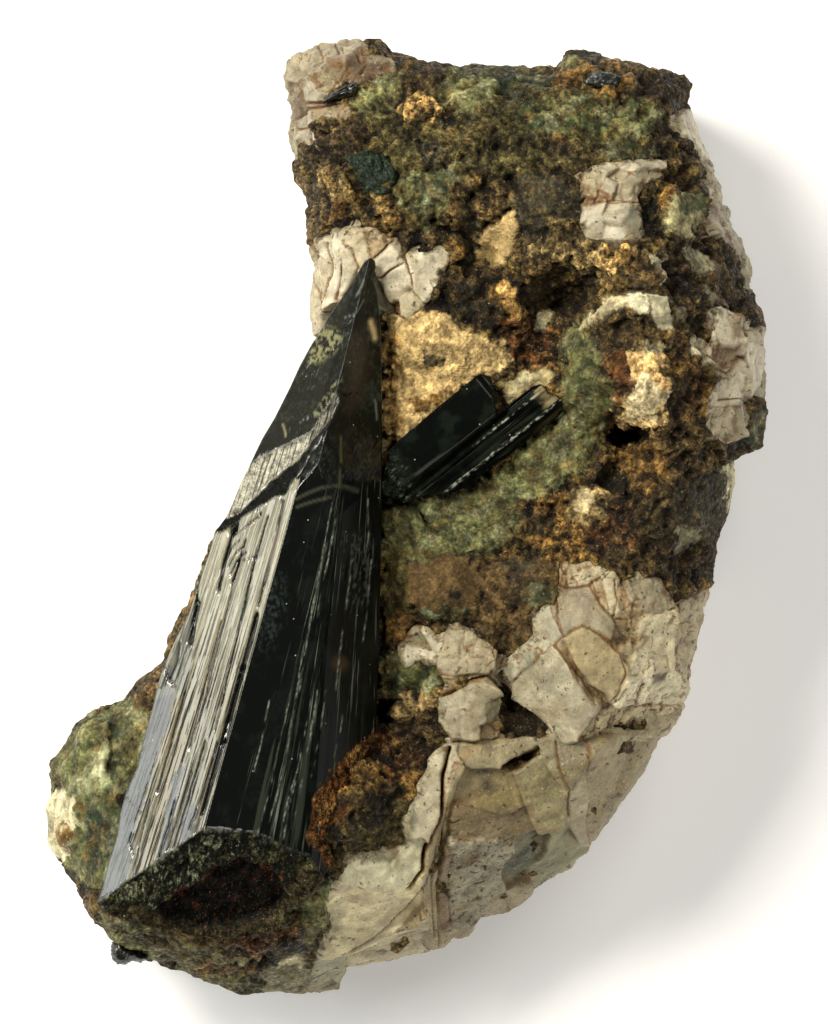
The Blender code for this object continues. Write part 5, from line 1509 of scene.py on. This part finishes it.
# Colour of the crystal: greenish black, with a pale painted sheen over the striated bright face, and a pale
# ledge.
INK, DEEP_GREEN, STEEL, SHEEN_PAINT, DRAB = (4, 6, 4), (15, 20, 15), (56, 61, 60), (134, 132, 112), (104, 94, 64)
streak = drawn_out(across * 0.30, along * 0.012, 3, 92)
blotch = crystal_grain(3.6, 3, 95)
fine_blotch = crystal_grain(0.5, 3, 96)
crystal_tint = np.tile(as_light(INK), (len(cx), 1))
lay(crystal_tint, DEEP_GREEN, smooth_step(blotch + 0.5 * fine_blotch, -0.1, 0.7) * 0.7)
# where the painted sheen goes: the prism of the bright face
pale = prism * on_bright
lay(crystal_tint, SHEEN_PAINT, pale)
# the painted sheen darker towards the lower end
crystal_tint *= (1 - 0.42 * pale * smooth_step(cy, 560, 800))[:, None]
crystal_tint *= (1 + pale * (0.16 * streak + 0.10 * fine_blotch))[:, None]
lay(crystal_tint, DRAB, pale * smooth_step(strip_number + 0.5 * streak + 0.3 * blotch, 0.70, 0.95) * 0.5)
lay(crystal_tint, DRAB, pale * 0.7 * drawn_patch(
    "172,700 184,694 186,730 172,790 160,830 152,862 148,850 156,800 164,750", -3, 3, 3 * fine_blotch))
lay(crystal_tint, (104, 92, 68), pale * drawn_line(FACE_CUTS[4][2], 3.2, 1.2) * 0.7)
crystal_tint *= (1 + pale * 0.25 * (strip_number - 0.5))[:, None]
# the smooth strips get a blue-grey painted sheen
lay(crystal_tint, STEEL, pale * smooth_zone)
crystal_tint *= (1 + pale * smooth_zone * (0.35 * blotch + 0.30 * fine_blotch))[:, None]
for scratch in (
    "121,800 126,796 131,806 127,820", "131,822 142,804 150,798", "150,744 162,712",
    "134,778 142,752 150,744", "156,708 166,690 172,680", "128,840 140,828", "116,858 128,846",
):
    lay(crystal_tint, (12, 14, 12), pale * drawn_line(scratch, 1.3, 0.5, 2 * fine_blotch, 2 * blotch) * 0.8)

dark = prism * past_crest
streaky = (across > 114) * (across < 152) * smooth_step(cy, 620, 720) * smooth_step(streak, 0.05, 0.5)
tip_side_shown = on_tip * (tip_side(cx, cy) < tip_face(cx, cy))
for colour, share in (
    ((86, 88, 78), pale * drawn_patch("196,640 186,690 150,700 178,640 192,600", -3, 3) * 0.8),
    # painted shade: the deeper cuts are painted ink-black
    (INK, prism * smooth_step(-cut, 0.08, 0.18)),
    ((48, 54, 44), dark * streaky * 0.7),
    ((60, 64, 56), dark * drawn_patch("340,536 372,530 374,600 352,612 342,580", -6, 6, 4 * blotch)
     * smooth_step(fine_blotch + streak, 0.1, 0.5) * 0.8),
    ((46, 54, 52), dark * drawn_patch("256,600 268,580 282,572 286,606 272,646 254,650", -8, 8, 4 * blotch)
     * smooth_step(fine_blotch, -0.1, 0.5) * 0.7),
    ((70, 52, 34), dark * smooth_step(np.hypot(cx - 340, cy - 663), 12, 3) * 0.6),
    # painted highlights along the fine ribs
    ((140, 148, 130), dark * highlight_thread * 0.85),
    ((38, 32, 22), tip_side_shown * drawn_patch(
        "344,340 362,330 370,360 366,400 348,412", -8, 8, stepped=True)),
    ((150, 147, 128), on_ledge * (0.9 + 0.2 * fine_blotch)),
    (INK, on_ledge * drawn_line("341,384 326,410 334,396", 8, 2) * 0.5),
    (INK, on_riser * 0.9),
    ((56, 60, 52), on_tip * smooth_step(fine_blotch + 0.6 * blotch, 0.35, 0.7) * 0.4),
    ((124, 122, 88), on_tip * drawn_patch(
        "308,366 310,345 318,330 326,326 338,330 344,340 336,352 322,362", -4, 4, 3 * fine_blotch)
     * smooth_step(fine_blotch, -0.2, 0.2) * 0.9),
    ((112, 114, 84), on_tip * drawn_line("341,380 330,396 318,414", 5, 1, 2 * fine_blotch)
     * smooth_step(fine_blotch, 0, 0.3)),
):
    lay(crystal_tint, colour, share)
for colour, half_width, line in (
    ((58, 60, 46), 1.5, "297,499 309,493 321,488 334,486 346,487 358,491"),
    ((60, 61, 47), 1.4, "297,507 315,501 332,497"), ((66, 65, 40), 1.2, "341,437 341,462"),
    ((62, 60, 38), 1.2, "340,470 340,485"), ((176, 156, 110), 2.6, "371,322 373,330 375,338"),
    ((92, 98, 88), 0.8, "364,281 356,296 360,292"), ((86, 92, 84), 0.7, "345,318 356,314 364,300"),
    ((128, 124, 90), 0.9, "283,424 286,436"), ((84, 90, 84), 0.8, "375,400 377,420"),
):
    lay(crystal_tint, colour, mound(distance_to_line(cx + sway, cy, drawn(line)), half_width) * ~on_side)

# The broken end: a granular rim, a crusted lip and a rusty core. The rusty rock laps over the crystal's
# lower right side.
overgrown = drawn_patch(
    "350,752 380,730 390,880 330,880 318,850 306,836 314,800 330,776", -1.5, 1.5, 5 * blotch, 5 * fine_blotch,
    stepped=True)
rim = on_break * (1 - core) * (1 - lip)
rusty = patches(crystal_places, 1.0, 3, 98, 0.05, 0.45)
rust_line = drawn_line("176,900 200,880 216,866 238,860 262,862 284,884", 9, 3)
for colour, share in (
    ((18, 22, 13), on_break),
    ((132, 136, 106), rim * smooth_step(fine_blotch + 0.5 * blotch, 0.15, 0.4)
     * smooth_step(cx, 320, 200) * 0.8),
    ((84, 80, 46), rim * patches(crystal_places, 1.4, 3, 97, 0.1, 0.4) * 0.6),
    ((3, 4, 2), rim * patches(crystal_places, 0.9, 3, 100, 0.05, 0.3) * 0.9),
    ((70, 60, 34), on_break * lip * 0.9),
    ((34, 25, 13), on_break * lip * smooth_step(fine_blotch, -0.1, 0.3) * 0.9),
    ((98, 98, 68), on_break * lip * smooth_step(blotch, 0.1, 0.5) * smooth_step(cx, 250, 290) * 0.7),
    ((4, 3, 2), on_break * core),
    ((112, 50, 22), on_break * rusty * rust_line * 0.9),
    ((84, 38, 20), on_break * core * rusty * 0.4),
):
    lay(crystal_tint, colour, share)
crystal_tint *= (1 - 0.45 * on_break)[:, None]
for colour, share in (
    ((40, 33, 20), on_break * smooth_step(depth_inside(cx, cy, CRYSTAL_EDGE), 3.5, 0.5)),
    ((30, 26, 16), on_side * 1.0),
    (RUST, overgrown * 0.8),
    (OCHRE, overgrown * smooth_step(blotch + 0.6 * fine_blotch, 0.0, 0.5) * 0.9),
    (BLACK, overgrown * patches(crystal_places, 0.9, 3, 99, 0.0, 0.35) * 0.8),
):
    lay(crystal_tint, colour, share)

gem = Finish("aegirine")
gem_dull, gem_lined, gem_streaked = gem.measure("dull"), gem.measure("lined"), gem.measure("streaked")
gem_across, gem_along = gem.measure("across"), gem.measure("along")
gem_strands = gem.streaks(gem_across / 14.0, gem_along / 260.0, 0.0, 2.0, 0.5)
gem_finer = gem.streaks(gem_across / 2.6, gem_along / 110.0, 7.0)
gem_fine_grain = gem.noise(0.22, 3.0, 0.7)
# Striations: three sets of dark hairlines, each line opening, closing and breaking off along the crystal.
HAIRLINES = [  # spacing, half width, length, how much of each line is missing, shift
    (3.1, 0.34, 40.0, 0.50, 3.0), (5.3, 0.46, 70.0, 0.49, 11.0), (9.7, 0.60, 120.0, 0.45, 19.0),
]
gem_sway = gem_across + gem_strands * 9.0
gem_hairlines = []
for spacing, width, stretch, missing, shift in HAIRLINES:
    gem_breaks = gem.streaks(gem_across / spacing, gem_along / stretch, shift)
    gem_fold = abs((gem_sway / spacing + shift) % 1.0 - 0.5) * spacing
    gem_line = gem.between(gem_fold, width * 0.6, width * 1.5, 1.0, 0.0)
    gem_hairlines.append(gem_line * gem.between(gem_breaks, missing, missing + 0.05))
gem_cut = gem_lined * gem.sharpest(gem.sharpest(gem_hairlines[0] * 0.9, gem_hairlines[1]), gem_hairlines[2])
gem_glint_cells = gem.node("ShaderNodeTexVoronoi", {}, {"Vector": gem.place(), "Scale": 1000 / 1.5})
gem_glint = gem.between(gem_glint_cells, 0.045, 0.075, 1.0, 0.0) * gem.between(gem_glint_cells.beside("Color"), 0.56, 0.60)
gem_crumbs = gem.between(gem.noise(0.8, 4.0, 0.75), 0.38, 0.66, 0.05, 3.2)
gem_base = gem.measure("tint", "Color")
# Painted shade: the hairlines are painted black in their fine grooves. Painted glints: the light streaks on
# the streaked faces, the light flecks on the dull parts, and the bright cells.
for share, colour, how in (
    (gem_cut, INK, "MIX"),
    (gem.between(gem_finer, 0.58, 0.66) * gem.between(gem_breaks, 0.40, 0.60) * gem_streaked,
     (124, 132, 116), "MIX"),
    (gem.between(gem_fine_grain, 0.40, 0.50, 1.0, 0.0) * gem_dull * 0.9, (14, 14, 9), "MIX"),
    (gem.between(gem_fine_grain, 0.60, 0.72) * (gem_dull * 0.5), (160, 154, 122), "MIX"),
    (gem_dull * 0.9, gem_crumbs, "MULTIPLY"),
    (gem_glint * 0.75, (170, 170, 156), "MIX"),
):
    gem_base = gem.blend(share, gem_base, colour, how)
gem_lines = gem.bump(gem_cut * -1.0 + gem_finer * (gem_lined + gem_streaked) * 0.18, 0.06, 1.0)
gem_relief = gem.bump(gem_fine_grain * (gem_dull * 0.9 + 0.01), 0.16, 1.0, under=gem_lines)
gem.wear(
    Base_Color=gem_base,
    Roughness=gem.sharpest(gem_dull * 0.5 + gem_fine_grain * 0.12 + 0.08, gem_cut * 0.9),
    IOR=1.72,
    Specular_IOR_Level=0.35,
    Normal=gem_relief,
)
# Broken and crusted surfaces have no polish, and the steep sides hardly any.
gem.second_sheen(gem.measure("matte"))
gem.wear(Base_Color=gem_base, Roughness=0.8, Specular_IOR_Level=0.03, Normal=gem_relief)

seam = 4 * on_tip * (1 - on_tip) * on_left
dull = overgrown + on_break * 0.95 + on_ledge * 0.45 + on_side * 1.0 + on_tip * 0.03 + on_riser * 0.35
dull = np.clip(dull + 0.5 * seam, 0, 1)
lined = prism * on_bright * (1 - 0.85 * smooth_zone) * (0.55 + 0.45 * smooth_step(cy, 580, 700))
lined = lined + 0.8 * on_ledge
matte = np.maximum(dull, prism * np.select([across < 118, across < 150], [0.0, 0.35], 0.85))
matte = np.maximum(matte, on_riser * 0.9)
streaked = prism * np.select([across < 100, across < 118, across < 150], [0.0, 0.15, 0.75], 0.4)
crystal = add_mesh(
    "large_crystal", crystal_shaped, crystal_faces, tint=np.clip(crystal_tint, 0.0, 1.0), across=across,
    along=along, dull=dull, lined=lined, streaked=streaked, matte=matte,
)
crystal.data.materials.append(gem.material)
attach(crystal, "root")
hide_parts("aegirine_main_crystal")

# The second aegirine crystal. A flat black blade with two thin rods grown along its lower side, standing
# out of the green rock to the right of the tip; painted highlights run along the rods' ridges.
BLADE_EDGE = drawn("""
    381,490 382,478 385,464 390,450 398,441 410,431 421,422 432,412 443,403 454,394 466,385 475,377 481,374
    488,376 492,382 494,392 494,402 497,416 502,412 512,403 524,393 534,386 541,384 546,388 548,393 556,394
    563,398 568,402 564,410 556,418 546,426 532,436 520,446 508,457 494,466 484,474 478,478 475,485 464,488
    456,492 442,493 432,496 416,497 404,502 394,500 384,495
""")
BLADE_ALONG, BLADE_ACROSS = np.array([0.778, -0.628]), np.array([0.628, 0.778])
BLADE_MIDDLE = 440
PROFILE = [  # across the blade from its upper edge: place in pixels, height in millimetres
    (-31, 38.2), (-28.5, 38.7), (0, 38.7), (14, 38.4), (17.5, 38.0), (19.5, 37.1), (21.5, 37.0),
    (24, 37.6), (26.5, 37.8), (29, 37.4), (35, 37.1), (38, 36.9), (41, 37.4), (44, 38.0), (46, 37.8),
    (49, 37.2), (53, 36.8), (56, 36.2), (60, 35.6),
]


def along_blade(x, y):
    """Distance along the blade and across it, in pixels."""
    x, y = x - BLADE_MIDDLE, y - BLADE_MIDDLE
    return x * BLADE_ALONG[0] + y * BLADE_ALONG[1], x * BLADE_ACROSS[0] + y * BLADE_ACROSS[1]


def blade_height(x, y):
    """Height of the blade and its rods, lower at the crumbled back end and at the worn ends in front."""
    u, v = along_blade(x, y)
    place, level = np.array(PROFILE).T
    z = np.interp(v, place, level)
    back = smooth_step(u, -46, -80)
    z -= 1.5 * back + 0.7 * smooth_step(u, 66, 74) * (v < 19) + 1.4 * smooth_step(u, 112, 124)
    return z - 0.8 * smooth_step(v, 8, 26) * smooth_step(u, 20, -30)


blade_x, blade_y, blade_places, blade_normals, blade_faces, blade_top = closed_lump(
    BLADE_EDGE, slanted_grid(BLADE_EDGE, BLADE_ALONG, BLADE_ACROSS, 2.2, 0.9), blade_height,
    30.5, 7.0, 8, 1.5)
blade_u, blade_v = along_blade(blade_x, blade_y)
blade_side = np.arange(len(blade_x)) >= blade_top
blade_lines = random_lines(
    np.random.default_rng(31), (20, 56), (0.8, 1.2), (0.02, 0.05), -60, 110, (60, 160), 22)
blade_relief = grooves(blade_v, blade_u, blade_lines) * ~blade_side
crumbled = smooth_step(blade_u, -36, -62)
blade_ledges = np.round(2.5 * grain(blade_places, 1.3, 2, 102))
blade_relief += crumbled * (0.10 * grain(blade_places, 0.7, 3, 101) + 0.14 * blade_ledges)
blade_relief += smooth_step(blade_v, 44, 56) * 0.2 * grain(blade_places, 1.2, 3, 103)
blade_relief = blade_relief + 0.12 * blade_side * grain(blade_places, 1.2, 2, 104)
blade_shaped = blade_places + blade_normals * blade_relief[:, None]
blade_tint = np.tile(as_light(INK), (len(blade_x), 1))
blade_streak = drawn_out(blade_v * 0.8, blade_u * 0.02, 2, 105)
blade_grain = grain(blade_places, 0.5, 3, 106)
blade_rim = smooth_step(depth_inside(blade_x, blade_y, BLADE_EDGE), 2.0, 0.6)
rods = smooth_step(blade_v, 20, 24)
rod_ends = (blade_v > 21) * (blade_v < 42) * smooth_step(blade_u + 6 * blade_grain, 98, 110)
# where the painted highlights run along the rods' ridges
ridge = np.maximum(
    smooth_step(np.abs(blade_v - 44.5 - blade_streak), 2.1, 0.6) * smooth_step(blade_u, -40, -16),
    smooth_step(np.abs(blade_v - 25.5), 1.5, 0.4) * smooth_step(blade_u, 20, 34),
)
for colour, share in (
    ((18, 24, 18), patches(blade_places, 2.5, 3, 108, -0.1, 0.5) * 0.8),
    ((26, 32, 26), crumbled),
    ((120, 128, 118), crumbled * smooth_step(blade_grain, 0.45, 0.7) * 0.7),
    ((34, 37, 27), rods * smooth_step(blade_streak, -0.1, 0.4) * smooth_step(blade_u, 0, 50) * 0.8),
    # painted highlights along the rods' ridges
    ((150, 154, 136), ridge * smooth_step(blade_grain, -0.1, 0.25) * 0.8),
    ((132, 120, 88), rod_ends * 0.8),
    ((70, 60, 38), smooth_step(blade_v, 48, 56) * smooth_step(blade_u, 70, 100) * 0.7),
    ((10, 12, 8), blade_rim),
):
    lay(blade_tint, colour, share)
blade = add_mesh(
    "second_crystal", blade_shaped, blade_faces, tint=blade_tint, across=blade_v, along=blade_u,
    dull=np.clip(crumbled * 0.7 + blade_side + 0.05 + 0.8 * blade_rim, 0, 1), lined=blade_v * 0.0,
    streaked=rods * 0.3,
    matte=np.clip(0.75 + 0.5 * crumbled + 0.4 * rods + blade_side + blade_rim, 0, 1),
)
blade.data.materials.append(gem.material)
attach(blade, "root")
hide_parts("aegirine_second_crystal")

# Four small aegirine crystals, each half buried where it grew: a black splinter in the white crown, a
# sparkling stub in the top edge, a green-black wedge below it, and a glossy stub under the lower left.
SMALL_CRYSTALS = [
    ("splinter", "aegirine_small_left", drawn("""
        321,103 324,99 328,96 331,92 340,88 350,83 356,81 357,86 355,93 352,96 344,98 332,99 326,101
    """), (0.87, -0.49), 33.4, 27.0, 0.5, (4, 6, 4), (24, 34, 24), 0.15, 0.15),
    ("stub", "aegirine_small_top", drawn("""
        588,78 592,74 600,71 610,72 617,75 621,77 618,84 612,88 602,89 592,88 586,84 584,81
    """), (1.0, 0.15), 35.6, 28.0, 1.3, (6, 8, 7), (150, 158, 150), 0.5, 0.7),
    ("wedge", "aegirine_small_green", drawn("""
        346,158 350,155 364,152 376,153 388,158 396,164 399,174 398,184 392,192 382,198 372,200 368,197
        362,186 356,172 350,165
    """), (0.45, 0.9), 37.3, 29.0, 0.9, (14, 25, 15), (60, 78, 50), 0.6, 0.9),
    ("foot_stub", "aegirine_small_foot", drawn("""
        109,952 110,945 114,942 122,944 128,950 136,953 146,957 146,961 140,965 131,963 124,966 116,966
        110,961
    """), (0.9, 0.3), 22.6, 16.5, 1.0, (8, 9, 7), (110, 112, 94), 0.2, 0.3),
]
for number, (name, node, outline, run, top, base, rounding, *shades) in enumerate(SMALL_CRYSTALS):
    dark, light, pale_share, dullness = shades
    run = np.array(run) / math.hypot(*run)
    side = np.array([-run[1], run[0]])
    middle_x, middle_y = np.mean(outline, axis=0)

    def small_height(x, y):
        """A low ridge along the crystal, rounded off towards its outline."""
        v = (x - middle_x) * side[0] + (y - middle_y) * side[1]
        inside = np.clip(depth_inside(x, y, outline), 0, 6) / 6
        return top - rounding * (1 - inside) ** 2 - 0.035 * np.abs(v - 1.5) - 0.02 * v

    sx, sy, places, normals, faces, _ = closed_lump(
        outline, slanted_grid(outline, run, side, 1.1, 0.7, 0.3), small_height, base, 3.0, 8, 0.9)
    su = (sx - middle_x) * run[0] + (sy - middle_y) * run[1]
    sv = (sx - middle_x) * side[0] + (sy - middle_y) * side[1]
    bumps = 0.22 * np.round(2 * grain(places, 1.0, 2, 110 + number)) * dullness
    bumps = bumps + 0.08 * grain(places, 0.5, 2, 120 + number)
    bumps += 0.10 * drawn_out(sv * 0.5, su * 0.03, 2, 130 + number)
    shaped = places + normals * (bumps * smooth_step(places[:, 2], base, base + 1))[:, None]
    tint = np.tile(as_light(dark), (len(sx), 1))
    # Pale spots: on the sparkling stub they are painted glints, on the others a lighter tone.
    lay(tint, light, pale_share * patches(places, 0.5, 3, 140 + number, 0.2, 0.6) + 0.02)
    even = np.ones(len(sx))
    small = add_mesh(
        name, shaped, faces, tint=tint, across=sv, along=su, dull=even * dullness * 0.6, lined=even * 0.0,
        streaked=even * 0.2, matte=even * dullness * 0.8,
    )
    small.data.materials.append(gem.material)
    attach(small, "root")
    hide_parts(node)

# Camera, floor and lights. The camera looks straight down from far off, as the photograph does.
LENS, FRAME_SIDE = 800.0, 36.0
VIEW_HEIGHT = 1024 * PIXEL * 0.001
PHOTO_MIDDLE, FOCUS_HEIGHT = (414, 512), 0.036
camera_data = bpy.data.cameras.new("camera")
camera_data.lens = LENS
camera_data.sensor_width = FRAME_SIDE
camera_data.clip_end = 50.0
camera = bpy.data.objects.new("camera", camera_data)
bpy.context.scene.collection.objects.link(camera)
camera.location = (
    (PHOTO_MIDDLE[0] - MIDDLE_X) * PIXEL * 0.001, (MIDDLE_Y - PHOTO_MIDDLE[1]) * PIXEL * 0.001,
    FOCUS_HEIGHT + VIEW_HEIGHT * LENS / FRAME_SIDE,
)
bpy.context.scene.camera = camera

floor_mesh = bpy.data.meshes.new("floor")
floor_mesh.from_pydata([(-6, -6, 0), (6, -6, 0), (6, 6, 0), (-6, 6, 0)], [], [(0, 1, 2, 3)])
floor = bpy.data.objects.new("floor", floor_mesh)
bpy.context.scene.collection.objects.link(floor)
floor_finish = Finish("pale_floor")
floor_finish.wear(
    Base_Color=(0.92, 0.92, 0.92, 1.0), Roughness=0.9,
    Emission_Color=(1.0, 1.0, 1.0, 1.0), Emission_Strength=0.18,
)
floor_mesh.materials.append(floor_finish.material)


def soft_light(name, direction, distance, size, power, colour=(1.0, 1.0, 1.0)):
    """A square softbox that looks at the middle of the specimen."""
    data = bpy.data.lights.new(name, "AREA")
    data.shape = "RECTANGLE"
    data.size, data.size_y = size
    data.energy = power
    data.color = colour
    lamp = bpy.data.objects.new(name, data)
    bpy.context.scene.collection.objects.link(lamp)
    aim = Vector(direction).normalized()
    lamp.location = Vector((0, 0, 0.03)) + aim * distance
    lamp.rotation_euler = aim.to_track_quat("Z", "Y").to_euler()
    lamp.visible_camera = False


soft_light("key", (-0.55, 0.45, 0.85), 1.0, (0.36, 0.36), 13.0, (1.0, 0.95, 0.86))
soft_light("left_low", (-0.85, 0.12, 0.49), 0.8, (0.42, 0.42), 3.4, (1.0, 0.99, 0.95))
soft_light("fill", (0.5, 0.7, 1.1), 1.1, (0.5, 0.5), 4.0, (1.0, 0.96, 0.90))
soft_light("low_fill", (0.42, -0.73, 0.53), 1.1, (0.6, 0.6), 3.6, (1.0, 0.96, 0.90))

world = bpy.data.worlds.new("studio")
world.use_nodes = True
world.node_tree.nodes["Background"].inputs["Color"].default_value = (0.95, 0.95, 0.92, 1.0)
world.node_tree.nodes["Background"].inputs["Strength"].default_value = 0.10
bpy.context.scene.world = world
bpy.context.scene.view_settings.view_transform = "Standard"
